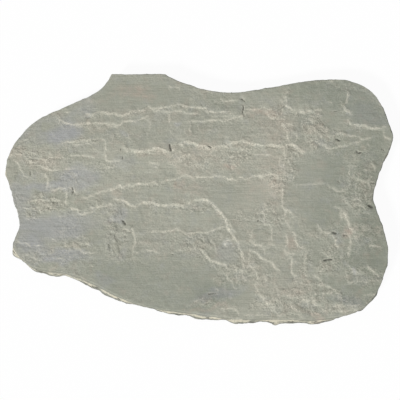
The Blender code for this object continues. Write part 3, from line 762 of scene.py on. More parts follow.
def smoothstep(x):
    """3x^2 - 2x^3 of x held between 0 and 1."""
    x = np.clip(x, 0, 1)
    return x * x * (3 - 2 * x)


def tent(value, half):
    """1 at 0 and straight down to 0 at half to either side."""
    return np.clip(1 - np.abs(value) / half, 0, 1)


def noise(x, y, size, seed):
    """Value noise from -1 to 1: random values on a square lattice of the given size, joined by
    smooth steps in both directions."""
    table = np.random.default_rng(seed).uniform(-1, 1, (LATTICE, LATTICE))
    u, v = x / size, y / size
    column, row = np.floor(u).astype(int), np.floor(v).astype(int)
    a, b = smoothstep(u - column), smoothstep(v - row)
    c0, c1 = column % LATTICE, (column + 1) % LATTICE
    r0, r1 = row % LATTICE, (row + 1) % LATTICE
    low = table[r0, c0] * (1 - a) + table[r0, c1] * a
    high = table[r1, c0] * (1 - a) + table[r1, c1] * a
    return low * (1 - b) + high * b


def fractal(x, y, size, seed, octaves=3):
    """Noise added to itself at half the size and half the strength, as many times as asked."""
    total = np.zeros(np.broadcast(x, y).shape)
    for k in range(octaves):
        total += noise(x, y, size / 2**k, seed + k) / 2**k
    return total


def plates(x, y, size, seed):
    """Broken plates: each point takes the height, from -1 to 1, of the nearest of a set of
    scattered points, one in each square of a lattice, and blends to the next plate's height at the
    line between them. Also gives, from 0 to 1 times the step in height, how near that line is where
    the step looks toward the key light, for painted highlight, and where it looks away from it, for
    painted shade."""
    random = np.random.default_rng(seed)
    jitter_x, jitter_y, levels = random.uniform(0.05, 0.95, (3, LATTICE, LATTICE))
    u, v = x / size, y / size
    column, row = np.floor(u).astype(int), np.floor(v).astype(int)
    first, second = np.full((2, len(x)), FAR)
    own, other, own_x, own_y, other_x, other_y = np.zeros((6, len(x)))
    for i in (-1, 0, 1):
        for j in (-1, 0, 1):
            c, r = (column + i) % LATTICE, (row + j) % LATTICE
            off_x, off_y = u - column - i - jitter_x[r, c], v - row - j - jitter_y[r, c]
            far = np.hypot(off_x, off_y)
            level = 2 * levels[r, c] - 1
            nearest, next_nearest = far < first, (far >= first) & (far < second)
            other, other_x, other_y = (
                np.where(nearest, old, np.where(next_nearest, new, kept)) for old, new, kept in
                ((own, level, other), (own_x, off_x, other_x), (own_y, off_y, other_y)))
            second = np.where(nearest, first, np.where(next_nearest, far, second))
            own, own_x, own_y, first = (
                np.where(nearest, new, kept) for new, kept in
                ((level, own), (off_x, own_x), (off_y, own_y), (far, first)))
    gap = (second - first) * size
    inside = smoothstep(gap / 0.0024)
    value = own * (0.5 + 0.5 * inside) + other * (0.5 - 0.5 * inside)
    step = own - other
    across_x, across_y = own_x - other_x, own_y - other_y
    toward = KEY_LIGHT_SIDE[0] * across_x + KEY_LIGHT_SIDE[1] * across_y
    facing = np.sign(step) * toward / (np.hypot(across_x, across_y) + 1e-9)
    border = np.clip(1 - gap / 0.0050, 0, 1) * np.clip(np.abs(step), 0, 1)
    lit = smoothstep(0.5 + facing)
    return value, border * lit, border * (1 - lit)


def to_path(x, y, path):
    """Signed distance to a path, positive on its left, the place along it, and how much the right
    side faces the key light, from -1 to 1."""
    start, step = path[:-1], np.diff(path, axis=0)
    length = np.linalg.norm(step, axis=1)
    away_x, away_y = x[:, None] - start[:, 0], y[:, None] - start[:, 1]
    share = np.clip((away_x * step[:, 0] + away_y * step[:, 1]) / length**2, 0, 1)
    gap = np.hypot(away_x - share * step[:, 0], away_y - share * step[:, 1])
    nearest = gap.argmin(axis=1)
    row = np.arange(len(x))
    cross = step[nearest, 0] * away_y[row, nearest] - step[nearest, 1] * away_x[row, nearest]
    run = np.concatenate([[0], np.cumsum(length)])
    along = run[nearest] + share[row, nearest] * length[nearest]
    facing = (step @ np.array([-KEY_LIGHT_SIDE[1], KEY_LIGHT_SIDE[0]]) / length)[nearest]
    return np.where(cross < 0, -1.0, 1.0) * gap[row, nearest], along, facing


def path_length(path):
    """Sum of the lengths of a path's straight pieces."""
    return np.linalg.norm(np.diff(path, axis=0), axis=1).sum()


def nearby(x, y, path, margin):
    """Numbers of the points inside a path's box, widened by a margin."""
    low, high = path.min(axis=0) - margin, path.max(axis=0) + margin
    return np.flatnonzero((x > low[0]) & (x < high[0]) & (y > low[1]) & (y < high[1]))


def from_oval(x, y, middle, half):
    """Distance from an oval's middle, where 1 is its border. The oval is in millimetres."""
    (mx, my), (rx, ry) = middle, half
    return np.hypot((x - MM * mx) / (MM * rx), (y - MM * my) / (MM * ry))


def terrace_step(signed, half, reach):
    """From -1 to 1 across a ledge's steep face, and back to level exponentially beyond it."""
    step = 2 * smoothstep(0.5 + signed / (2 * half)) - 1
    return step * np.exp(-np.maximum(np.abs(signed) - half, 0) / reach)


def ragged(x, y, shape):
    """The points shifted by noise and by broken plates, which makes lines on them ragged."""
    shift = shape.raggedness
    wx = x + shift * (fractal(x, y, 0.0060, 21) + plates(x, y, 0.0042, 24)[0])
    wy = y + shift * (fractal(x, y, 0.0060, 31) + plates(x, y, 0.0042, 34)[0])
    return wx, wy


def ledge_relief(x, y, shape):
    """Height and masks of all the ledges. Each ledge lifts its left side by half its drop and sinks
    its right side by as much, and dies out at its ends. The masks are the paler stone beside the
    steep faces that look toward the key light, fresh stone with painted highlight; a dark line at
    the foot of those ledges, and soil and painted shade on faces that look away; the broken strip
    below the higher ones; the distance to the nearest steep face that looks toward the key light,
    in units of about a millimetre that grow with the drop; and how strongly that face shows as a
    painted highlight."""
    height, pale_sunlit, soil_and_shade, debris, steep = np.zeros((5, len(x)))
    gap = np.full(len(x), FAR)
    half = shape.ledge_width / 2
    for number, (drop, points) in enumerate(LEDGES + SMALL_LEDGES):
        path = MM * np.array(points, dtype=float)
        reach = shape.ledge_reach * np.clip(drop / 3.0, 0.25, 1)
        near = nearby(x, y, path, 3.5 * reach)
        signed, along, facing = to_path(x[near], y[near], path)
        total = path_length(path)
        to_end = np.minimum(along, total - along)
        row = np.full(len(along), 0.37)
        fade = smoothstep(to_end / min(shape.ledge_fade * drop, 0.4 * total))
        uneven = 1 + 0.45 * noise(along, row, 0.009, 50 + number)
        height[near] += 0.5 * MM * drop * fade * uneven * terrace_step(signed, half, reach)

        sunny = smoothstep(0.75 + facing)
        strength = smoothstep(to_end / LINE_END) * np.clip(0.55 + 0.20 * drop, 0, 0.92) * (
            1 + 0.30 * noise(along, row, 0.007, 250 + number))
        aside = signed / (MM * np.clip(0.80 + 0.12 * drop, 0.85, 1.15))
        # Only faces that look toward the key light carry the painted highlight line
        closer = (np.abs(aside) < np.abs(gap[near])) & (sunny > 0.2)
        shown = strength * sunny * smoothstep((LINE_REACH - np.abs(signed)) / LINE_FADE)
        gap[near] = np.where(closer, aside, gap[near])
        steep[near] = np.where(closer, shown, steep[near])
        # Pale fresh stone and painted highlight beside faces toward the key light; a dark line at
        # their foot, and soil and painted shade on faces that look away
        pale_sunlit[near] = np.maximum(pale_sunlit[near], strength * sunny * tent(signed, PALE_REACH))
        foot = strength * (0.4 * sunny * tent(signed + SUNNY_FOOT_OFFSET, SUNNY_FOOT_REACH)
                           + 0.75 * (1 - sunny) * tent(signed, SHADED_FOOT_REACH))
        soil_and_shade[near] = np.maximum(soil_and_shade[near], foot)
        strip = np.where(signed < 0, tent(signed, DEBRIS_BELOW), tent(signed, DEBRIS_ABOVE))
        patchy = smoothstep(0.8 + noise(along, row, 0.016, 450 + number))
        debris[near] = np.maximum(debris[near], np.clip(0.42 * drop, 0, 0.95) * strip * patchy)
    return height, pale_sunlit, soil_and_shade, debris, gap, steep


def crack_relief(x, y):
    """Height, light lips, and soil and painted shade of the open cracks: each is a groove with
    straight sides, as wide as a lens along its line, painted dark inside with soil and shade,
    between two lips of fresh stone."""
    height, lips, soil_and_shade = np.zeros((3, len(x)))
    for depth, half, points in CRACKS:
        path = MM * np.array(points, dtype=float)
        near = nearby(x, y, path, 0.008)
        signed, along, _ = to_path(x[near], y[near], path)
        total = path_length(path)
        share = np.clip(along / total, 0, 1)
        width = 0.8 * MM * half * (0.3 + 0.7 * np.sqrt(4 * share * (1 - share)))
        ends = smoothstep((MM + np.minimum(along, total - along)) / (2.5 * MM))
        ends *= tent(np.maximum(np.abs(signed) - 0.006, 0), 0.002)
        height[near] -= MM * depth * ends * tent(signed, 2 * width)
        # Soil and painted shade inside the groove
        soil_and_shade[near] = np.maximum(soil_and_shade[near], (0.5 + 0.4 * depth) * ends * tent(signed, 2.6 * width))
        lip = 0.7 * ends * tent(np.abs(signed) - 2.6 * width, CRACK_LIP)
        lips[near] = np.maximum(lips[near], lip)
    return height, lips, soil_and_shade


def crumbled(x, y):
    """How crumbled the split face is, from 0 to 1: an uneven background or the strongest of the
    patches, halved on the whole plates. Each of them is a soft oval with a ragged border."""
    wx = x + 0.009 * fractal(x, y, 0.024, 61)
    wy = y + 0.009 * fractal(x, y, 0.024, 71)
    whole = np.zeros(len(x))
    for middle, half in WHOLE:
        whole = np.maximum(whole, smoothstep((1.3 - from_oval(wx, wy, middle, half)) / 0.55))
    amount = BACKGROUND_CRUMBLE * (0.8 + 0.6 * noise(wx, wy, 0.032, 77))
    for middle, half, strength in CRUMBLED:
        inside = smoothstep((1.3 - from_oval(wx, wy, middle, half)) / 0.55)
        amount = np.maximum(amount, strength * inside)
    return amount * (1 - 0.5 * whole)


def split_face(x, y, shape):
    """Height of the split face, and the masks that colour it. Height is the mean level, slow waves,
    the ledges and cracks, broken plates of two sizes, crumbs inside the crumbled patches, and fine
    lamination along X."""
    swell = np.zeros(len(x))
    for turn in range(3):
        angle = math.radians(25 + 55 * turn)
        run = x * math.cos(angle) + y * math.sin(angle)
        swell += np.sin(2 * math.pi * run / shape.swell_length + 1.7 * turn)
    wx, wy = ragged(x, y, shape)
    ledges, pale_sunlit, soil_and_shade, debris, gap, steep = ledge_relief(wx, wy, shape)
    cracks, lips, dark = crack_relief(x, y)
    rough = np.maximum(crumbled(x, y), debris)

    wx = x + 0.0030 * fractal(x, y, 0.010, 81)
    wy = y + 0.0030 * fractal(x, y, 0.010, 85)
    large, large_lit, large_dark = plates(wx, 1.8 * wy, 0.024, 89)
    small, small_lit, small_dark = plates(1.1 * wx, 1.3 * wy, 0.0070, 90)
    grit = fractal(x, y, 0.0036, 101, 2)
    crumb = shape.crumble * rough * (small + 0.6 * grit)
    laminae = fractal(x, 14 * y + 0.05 * fractal(x, y, 0.05, 103), 0.075, 105)

    height = (shape.level + shape.swell * swell / 3 + ledges + cracks
              + shape.terrace * (0.15 + 0.85 * rough) * large + crumb
              + FINE_GRIT * grit + shape.lamina * (1 - 0.6 * rough) * laminae)
    # Fresh stone and painted highlight: pale strips by sunlit ledges, crack lips, and plate borders
    # toward the key light. Soil and painted shade: ledge feet, cracks, and plate borders away from
    # it
    fresh = np.max([0.45 * pale_sunlit, lips, (0.1 + 0.6 * rough) * large_lit, 0.75 * rough * small_lit],
                   axis=0)
    soil_and_shade = np.max([soil_and_shade, dark, 0.3 * rough * large_dark, 0.35 * rough * small_dark], axis=0)
    return height, fresh, soil_and_shade, rough, gap, steep, large


def stains(x, y):
    """Warmth and lightness of the stone: each stain is a soft ragged oval added to the rest."""
    wx = x + 0.010 * fractal(x, y, 0.030, 111, 4)
    wy = y + 0.010 * fractal(x, y, 0.030, 121, 4)
    warmth, light = np.zeros((2, len(x)))
    for middle, half, warm, lighter in STAINS:
        amount = smoothstep(1.5 - from_oval(wx, wy, middle, half))
        warmth += warm * amount
        light += lighter * amount
    return warmth, light


def edge_line():
    """The top edge as evenly spaced points, with small nicks, and the unit vectors out of it."""
    line = smooth_path(OUTLINE, EDGE_SPACING, closed=True)
    along = np.roll(line, -12, axis=0) - np.roll(line, 12, axis=0)
    out = np.column_stack([along[:, 1], -along[:, 0]])
    out /= np.linalg.norm(out, axis=1)[:, None]
    nick = NICK_DEPTH * fractal(line[:, 0], line[:, 1], 0.013, 131, 4)
    return line + nick[:, None] * out, out


def four_sides(line, columns, rows):
    """For each grid point of the border, its fractional place on the edge line: the south, east,
    north and west sides, each evenly spaced between two corners, as the grid runs."""
    count = len(line)

    def place(corner):
        return np.linalg.norm(line - np.array(corner), axis=1).argmin()

    sw, se, ne, nw = (place(c) for c in (SOUTH_WEST, SOUTH_EAST, NORTH_EAST, NORTH_WEST))

    def between(start, end, points):
        return (start + np.linspace(0, (end - start) % count, points)) % count

    south = between(sw, se, columns)
    east = between(se, ne, rows)
    north = between(ne, nw, columns)[::-1]
    west = between(nw, sw, rows)[::-1]
    return south, east, north, west


def at(line, places):
    """Values of a closed line at fractional places."""
    low = np.floor(places).astype(int) % len(line)
    share = (places - np.floor(places))[:, None]
    return line[low] * (1 - share) + line[(low + 1) % len(line)] * share


def stretched_grid(south, east, north, west):
    """Grid between four sides: the blend of south and north plus the blend of west and east, less
    the blend of the four corners."""
    u = np.linspace(0, 1, len(south))[None, :, None]
    v = np.linspace(0, 1, len(west))[:, None, None]
    across = (1 - v) * south[None] + v * north[None]
    along = (1 - u) * west[:, None] + u * east[:, None]
    corners = ((1 - u) * (1 - v) * south[0] + u * (1 - v) * south[-1]
               + (1 - u) * v * north[0] + u * v * north[-1])
    return across + along - corners


def face_points(line, out, places, shape):
    """Points and masks of the split face, on a grid stretched between the four sides. Some of the
    broken plates are warmer and some cooler than the rest."""
    inset = line - shape.arris * out
    grid = stretched_grid(*(at(inset, p) for p in places))
    x, y = grid[..., 0].ravel(), grid[..., 1].ravel()
    height, fresh, soil_and_shade, rough, gap, steep, tint = split_face(x, y, shape)
    warmth, light = stains(x, y)
    warmth = warmth + rough * (0.5 * np.maximum(tint - 0.3, 0) - 0.5 * np.maximum(-0.4 - tint, 0))
    level = np.zeros((len(x), 2))
    masks = np.column_stack([fresh, soil_and_shade, rough, gap, steep, warmth, light, level])
    return np.column_stack([x, y, height]), masks


def grid_border(line, out, places):
    """Points of the grid's border on the edge line, the unit vectors out of them, the place of each
    along the edge as a share of its length, and that length."""
    south, east, north, west = places
    around = np.concatenate([south[:-1], east[:-1], north[:0:-1], west[:0:-1]])
    run = np.linspace(0, 1, len(line), endpoint=False)
    share = at(run[:, None], around)[:, 0]
    share = np.where(around > len(line) - 1, around / len(line), share)
    perimeter = np.linalg.norm(np.roll(line, -1, axis=0) - line, axis=1).sum()
    return at(line, around), at(out, around), share, perimeter


def chisel_bites(share, perimeter, shape):
    """Depth of the hollow that each chisel blow left, at places given as shares of the edge: blows
    of unequal length and depth, each hollow deepest midway."""
    random = np.random.default_rng(BITE_SEED)
    ends = np.cumsum(random.uniform(0.3, 1.7, round(perimeter / shape.bite_length)))
    starts, ends = np.append(0, ends[:-1]) / ends[-1], ends / ends[-1]
    depths = shape.bite_depth * random.uniform(0.1, 1.0, len(ends))
    blow = np.searchsorted(ends, share, side="right") % len(ends)
    within = (share - starts[blow]) / (ends - starts)[blow]
    return depths[blow] * 4 * within * (1 - within)


def edge_profile(share, perimeter, border, depth, crest, shape):
    """How far the chiselled edge reaches out, as a function of the place along it and of the depth
    from 0 at the arris to 1 at the foot: a rounded arris, an even lean to the foot's own line, a
    slight belly, hollows of the chisel that deepen downwards, and bedding layers that stand out
    unevenly."""
    run = share * perimeter
    reach = -shape.arris * smoothstep(1 - depth / 0.06)
    foot = np.full(len(share), -shape.undercut)
    for place, out, length in SPALLS:
        gap = np.linalg.norm(border - np.array(place), axis=1)
        foot += out * np.exp(-((gap / length) ** 2))
    reach = reach + foot * depth + BELLY_REACH * np.sin(math.pi * depth)
    reach = reach - FOOT_ROUND * smoothstep((depth - 0.93) / 0.07)
    reach = reach - chisel_bites(share, perimeter, shape) * smoothstep(depth / 0.45)
    level = crest * (1 - depth)
    layer = (level + 0.0012 * noise(run, np.full(len(run), 0.5), 0.060, 141)) / shape.layer
    number = np.floor(layer)
    jut = noise(run, 0.011 * number, 0.016, 151) + 0.5 * noise(run, 0.011 * number, 0.006, 152)
    grit = fractal(run, level, 0.0050, 161, 2)
    return reach + smoothstep(depth / 0.10) * (LAYER_JUT * jut + EDGE_GRIT * grit)


def edge_tones(border, outward):
    """Depths, from 0 to 1, at which the weathered grey of the edge ends and its dark foot of soil
    and painted shade starts, how fresh the stone between them is, and how dark the foot is. The
    south side is freshly split, and the north side is older, greyer and more even."""
    older = smoothstep(0.5 + outward[:, 1])
    grey = 0.18 + 0.16 * older * noise(border[:, 0], border[:, 1], 0.042, 179)
    foot = 0.52 + 0.30 * older * noise(border[:, 0], border[:, 1], 0.055, 180)
    fresh = 0.84 - 0.34 * older
    for place, length, deeper, fresher, higher in EDGE_TONES:
        near = np.exp(-((np.linalg.norm(border - np.array(place), axis=1) / length) ** 2))
        grey += deeper * near
        fresh += fresher * near
        foot -= higher * near
    return grey, np.clip(fresh, 0, 1), foot, 1 - 0.5 * older


def edge_masks(run, depth, grey, fresh, foot, darkness):
    """Fresh stone, and soil and painted shade, on the chiselled edge: fresh below a ragged grey
    border and above a ragged foot, both broken by level streaks, and soil and painted shade as
    dark as told on the foot and on dark chips, painted as shaded hollows, which grow more frequent
    downwards."""
    down = np.full(len(run), 0.08 * depth)
    patches = fractal(run, 3 * down, 0.012, 171)
    start = grey + 0.08 * noise(run, down, 0.009, 172) + 0.05 * noise(run, down, 0.0035, 173)
    stop = foot + 0.16 * noise(run, down, 0.011, 174) + 0.12 * noise(run, down, 0.0030, 175)
    low = smoothstep((depth - stop) / 0.10)
    shown = fresh * smoothstep((depth - start) / 0.05) * (1 - 0.8 * low)
    chips = noise(run, down, 0.010, 176) + 0.6 * noise(run, down, 0.0035, 177)
    # Dark chips: painted shade of small hollows
    dark = smoothstep((chips - 0.56 + 0.35 * depth) / 0.2) * smoothstep((depth - 0.15) / 0.2)
    # Soil and painted shade on the foot and the chips
    soil_and_shade = np.maximum((0.60 + 0.35 * (1 - fresh) * smoothstep(0.9 - fresh)) * low, dark)
    return shown * (1 + 0.28 * patches), soil_and_shade * darkness


def edge_rings(crest, crest_masks, border, outward, share, perimeter, shape):
    """Points and masks of each ring of the chiselled edge, from just below the arris down to the
    foot, and of the chamfer at the sawn underside. Crest is the height of the arris."""
    _, _, rough, gap, _, warmth, light, _, _ = crest_masks.T
    none = np.zeros(len(crest))
    tones = edge_tones(border, outward)
    points, masks = [], []
    for depth in EDGE_DEPTHS:
        reach = edge_profile(share, perimeter, border, depth, crest, shape)
        points.append(np.column_stack([border + reach[:, None] * outward, crest * (1 - depth)]))
        fresh, soil_and_shade = edge_masks(share * perimeter, depth, *tones)
        masks.append(np.column_stack([
            fresh, soil_and_shade, rough, gap, none, warmth, 0.3 * light, none + depth, none]))
    points.append(np.column_stack([points[-1][:, :2] - SAWN_CHAMFER * outward, none]))
    masks.append(np.column_stack([masks[-1][:, :-1], none + 1]))
    return points, masks


def stone_surface(shape):
    """Vertices, faces and masks of the whole stone: the grid of the split face, the rings of the
    edge and the underside. Also gives how many of the last faces are the flat underside."""
    line, out = edge_line()
    places = four_sides(line, shape.columns, shape.rows)
    border, outward, share, perimeter = grid_border(line, out, places)
    face, face_masks = face_points(line, out, places, shape)
    number = np.arange(len(face)).reshape(shape.rows, shape.columns)
    loop = np.concatenate([number[0, :-1], number[:-1, -1], number[-1, :0:-1], number[:0:-1, 0]])
    # Painted shade along the arris on the sides away from the key light
    soil_and_shade = 0.55 * smoothstep(2 * (outward @ SHADED_ARRIS_SIDE) - 0.4) * (
        0.6 + 0.6 * noise(share * perimeter, share, 0.030, 178))
    face_masks[loop, 1] = np.maximum(face_masks[loop, 1], soil_and_shade)
    rings, ring_masks = edge_rings(
        face[loop, 2], face_masks[loop], border, outward, share, perimeter, shape)

    count = len(loop)
    loops = [loop, *(len(face) + np.arange(count * len(rings)).reshape(-1, count))]
    quads = [np.column_stack([
        number[:-1, :-1].ravel(), number[:-1, 1:].ravel(),
        number[1:, 1:].ravel(), number[1:, :-1].ravel()])]
    for upper, lower in zip(loops, loops[1:]):
        quads.append(np.column_stack([upper, lower, np.roll(lower, -1), np.roll(upper, -1)]))
    faces = np.vstack(quads).tolist() + [loops[-1][::-1].tolist()]
    points, masks = np.vstack([face, *rings]), np.vstack([face_masks, *ring_masks])
    middle = (points.min(axis=0) + points.max(axis=0)) / 2
    points[:, :2] += (CAD_LOW[:2] + CAD_HIGH[:2]) / 2 - middle[:2]
    return points, faces, masks, count + 1


def stone_mesh(shape):
    """The stone's mesh with one vertex attribute for each mask."""
    points, faces, masks, underside = stone_surface(shape)
    mesh = bpy.data.meshes.new("riven_stone")
    mesh.from_pydata(points, [], faces)
    mesh.update()
    for name, values in zip(MASKS, masks.T):
        attribute = mesh.attributes.new(name, "FLOAT", "POINT")
        attribute.data.foreach_set("value", np.ascontiguousarray(values, dtype=np.float32))
    smooth = np.ones(len(faces), dtype=bool)
    smooth[-underside:] = False
    mesh.polygons.foreach_set("use_smooth", smooth)
    return mesh


class NodeSheet:
    """Adds nodes to a material's tree and wires them."""

    def __init__(self, tree):
        self.tree = tree

    def add(self, kind, inputs=None, **settings):
        """A new node, with each input set to a value or linked to another node's socket."""
        node = self.tree.nodes.new(kind)
        for key, value in settings.items():
            setattr(node, key, value)
        for key, value in (inputs or {}).items():
            if isinstance(value, bpy.types.NodeSocket):
                self.tree.links.new(value, node.inputs[key])
            else:
                node.inputs[key].default_value = value
        return node

    def mask(self, name):
        """A vertex attribute of the mesh."""
        return self.add("ShaderNodeAttribute", attribute_name=name).outputs["Fac"]

    def math(self, operation, a, b=0.0, clamp=False):
        """A sum, product or other operation on two values."""
        node = self.add("ShaderNodeMath", {0: a, 1: b}, operation=operation, use_clamp=clamp)
        return node.outputs[0]

    def times(self, product, *factors):
        """All the values multiplied."""
        for factor in factors:
            product = self.math("MULTIPLY", product, factor)
        return product

    def ramp(self, value, low, high, to_low=0.0, to_high=1.0):
        """The value, held between low and high, on a straight line from to_low to to_high."""
        inputs = {"Value": value, "From Min": low, "From Max": high,
                  "To Min": to_low, "To Max": to_high}
        return self.add("ShaderNodeMapRange", inputs).outputs["Result"]

    def mix(self, factor, a, b, blend="MIX"):
        """Colour b laid over colour a by the factor."""
        inputs = {0: factor, 6: a, 7: b}
        return self.add("ShaderNodeMix", inputs, data_type="RGBA", blend_type=blend).outputs[2]

    def grain(self, vector, scale, detail=2.0, roughness=0.5):
        """Soft noise from 0 to 1, with as many finer layers as detail says."""
        inputs = {"Vector": vector, "Scale": scale, "Detail": detail, "Roughness": roughness}
        return self.add("ShaderNodeTexNoise", inputs).outputs["Fac"]

    def ridges(self, vector, scale, half):
        """1 on the borders of scattered cells, down to 0 at half a ridge's width from them."""
        cells = self.add("ShaderNodeTexVoronoi", {"Vector": vector, "Scale": scale},
                         feature="DISTANCE_TO_EDGE")
        return self.ramp(cells.outputs["Distance"], 0.0, half * scale, 1.0, 0.0)


class StoneSheet(NodeSheet):
    """The stone's masks and patterns, and the colour, tone and relief that are made of them."""

    def __init__(self, tree, colours):
        super().__init__(tree)
        self.colours = colours
        self.fresh, self.soil_and_shade = self.mask("fresh"), self.mask("soil_and_shade")
        self.rough, self.ledge = self.mask("crumbled"), self.mask("sunlit_ledge_face")
        self.warmth, self.light = self.mask("warmth"), self.mask("lightness")
        self.edge = self.mask("edge_depth")
        self.not_sawn = self.math("SUBTRACT", 1.0, self.mask("sawn"))
        self.place = self.add("ShaderNodeTexCoord").outputs["Object"]
        stretched = self.add("ShaderNodeMapping", {"Vector": self.place, "Scale": LAMINATION})
        self.streaks = self.grain(stretched.outputs["Vector"], 4.0, 4.0, 0.65)
        self.mottle = self.grain(self.place, 150.0, 3.0, 0.6)
        self.speckle = self.grain(self.place, 420.0, 3.0, 0.7)
        self.chips = self.ramp(self.grain(self.place, 380.0, 4.0, 0.8), 0.3, 0.7, -0.5, 0.5)
        self.beads = self.ramp(self.grain(self.place, 560.0, 2.0, 0.6), 0.36, 0.64, 0.40, 1.30)
        self.net = self.plate_borders()

    def paint(self, name):
        """One of the stone's colours, with an alpha of 1."""
        return (*getattr(self.colours, name), 1.0)

    def plate_borders(self):
        """Ragged ridges along the borders of scattered cells: of large cells in some patches, and
        of small ones in the others."""
        jitter = self.add("ShaderNodeTexNoise",
                          {"Vector": self.place, "Scale": 170.0, "Detail": 3.0})
        shift = {0: jitter.outputs["Color"], 1: (0.009, 0.009, 0.0), 2: self.place}
        bent = self.add("ShaderNodeVectorMath", shift, operation="MULTIPLY_ADD").outputs[0]
        patches = self.grain(self.place, 75.0, 2.0, 0.5)
        large = self.times(self.ridges(bent, 62.0, 0.0014), self.ramp(patches, 0.40, 0.55))
        small = self.times(self.ridges(bent, 150.0, 0.0009), self.ramp(patches, 0.62, 0.45))
        return self.math("MAXIMUM", large, self.times(small, 0.8))

    def plate_colour(self):
        """Grey-green with olive clouds, streaks and dark plates, and with pink and blue-grey
        stains."""
        olive, blush, cool = self.paint("olive"), self.paint("blush"), self.paint("cool")
        clouds = self.grain(self.place, 22.0, 3.0, 0.55)
        colour = self.mix(self.ramp(clouds, 0.30, 0.70, 0.35, 0.0), self.paint("body"), olive)
        colour = self.mix(self.ramp(self.light, 0.0, -1.4, 0.0, 0.90), colour, olive)
        hues = self.grain(self.place, 60.0, 3.0, 0.6)
        colour = self.mix(self.ramp(hues, 0.54, 0.72, 0.0, 0.30), colour, blush)
        colour = self.mix(self.ramp(hues, 0.46, 0.28, 0.0, 0.25), colour, cool)
        colour = self.mix(self.math("MULTIPLY", self.warmth, -1.0, clamp=True), colour, cool)
        blotches = self.ramp(self.mottle, 0.40, 0.60, 0.55, 1.25)
        colour = self.mix(self.math("MULTIPLY", self.warmth, blotches, clamp=True), colour, blush)
        return self.mix(self.ramp(self.streaks, 0.50, 0.70, 0.0, 0.30), colour, olive)

    def ledge_line(self):
        """A line along the ledges that look toward the key light, painted as a highlight on fresh
        stone, that wanders, swells and shrinks, and breaks up into beads.
        """
        wander = self.ramp(self.grain(self.place, 170.0, 4.0, 0.8), 0.3, 0.7, -2.0, 2.0)
        breadth = self.ramp(self.grain(self.place, 120.0, 3.0, 0.7), 0.32, 0.68, 0.6, 2.4)
        aside = self.math("ABSOLUTE", self.math("ADD", self.mask("ledge_gap"), wander))
        line = self.ramp(self.math("DIVIDE", aside, breadth), 1.0, 0.35, 0.0, 0.73)
        return self.times(line, self.beads, self.ledge)

    def cream_share(self):
        """Where fresh stone and painted highlight show: on broken faces, on plate borders and ledge
        lines that look toward the key light, in layers on the chiselled edge, and as crumbs and
        plate borders where the face is rough."""
        broken = self.ramp(self.math("ADD", self.fresh, self.chips), 0.30, 0.85, 0.0, 0.70)
        broken = self.math("MAXIMUM", broken, self.ledge_line())
        layers = self.times(self.ramp(self.edge, 0.0, 0.08),
                            self.ramp(self.streaks, 0.3, 0.6, 0.8, 1.25))
        layers = self.math("MAXIMUM", layers, self.ramp(self.edge, 0.0, 0.02, 1.0, 0.0))
        broken = self.math("MULTIPLY", broken, layers, clamp=True)
        crumbs = self.times(self.rough, self.ramp(self.speckle, 0.35, 0.65, 0.0, 0.26))
        spread = self.math("MAXIMUM", self.ramp(self.rough, 0.0, 0.9, 0.0, 0.85),
                           self.times(self.ledge, 0.5))
        crumbs = self.math("MAXIMUM", crumbs, self.times(self.net, self.beads, spread))
        return self.times(self.math("MAXIMUM", broken, crumbs), self.not_sawn)

    def tone(self):
        """Brightness as a product: lighter and darker plates, painted shade just below the arris
        that dims its highlight and a slightly darker tone down the rest of the edge, its weathered
        parts, grit that is strongest on rough stone, mottling and lamination."""
        lighter = self.ramp(self.light, 0.0, 1.0, 1.0, 1.16)
        darker = self.ramp(self.light, -2.4, -0.4, 0.86, 1.0)
        # Painted shade on the band just below the arris, and a slightly darker edge below it
        side = self.math("MAXIMUM", self.ramp(self.edge, 0.0, 0.03, 1.0, 0.86),
                         self.ramp(self.edge, 0.05, 0.14, 0.86, 0.93))
        weathered = self.times(self.ramp(self.edge, 0.0, 0.02),
                               self.ramp(self.fresh, 0.05, 0.45, 0.24, 0.0), self.not_sawn)
        grit = self.ramp(self.grain(self.place, 600.0, 1.0, 0.5), 0.35, 0.65, -0.10, 0.10)
        grit = self.math("ADD", grit, self.ramp(self.speckle, 0.30, 0.70, -0.09, 0.09))
        grit = self.times(grit, self.ramp(self.rough, 0.0, 0.8, 0.14, 1.5))
        mottling = self.ramp(self.mottle, 0.25, 0.75, 0.96, 1.04)
        bands = self.times(self.ramp(self.streaks, 0.28, 0.72, 0.085, -0.085),
                           self.ramp(self.rough, 0.0, 0.8, 1.0, 0.4))
        return self.times(
            lighter, darker, side, self.math("SUBTRACT", 1.0, weathered),
            self.math("ADD", grit, 1.0), mottling, self.math("ADD", bands, 1.0))

    def relief(self):
        """Fine relief in millimetres: pitted grain, deepest where crumbled, and engraved
        lamination and plate borders."""
        pitted = self.grain(self.place, 380.0, 4.0, 0.6)
        relief = self.times(pitted, self.ramp(self.rough, 0.0, 1.0, 0.45, 1.6))
        relief = self.math("ADD", relief, self.times(self.streaks, 0.45))
        return self.math("ADD", relief, self.times(self.net, self.times(self.rough, 0.35)))


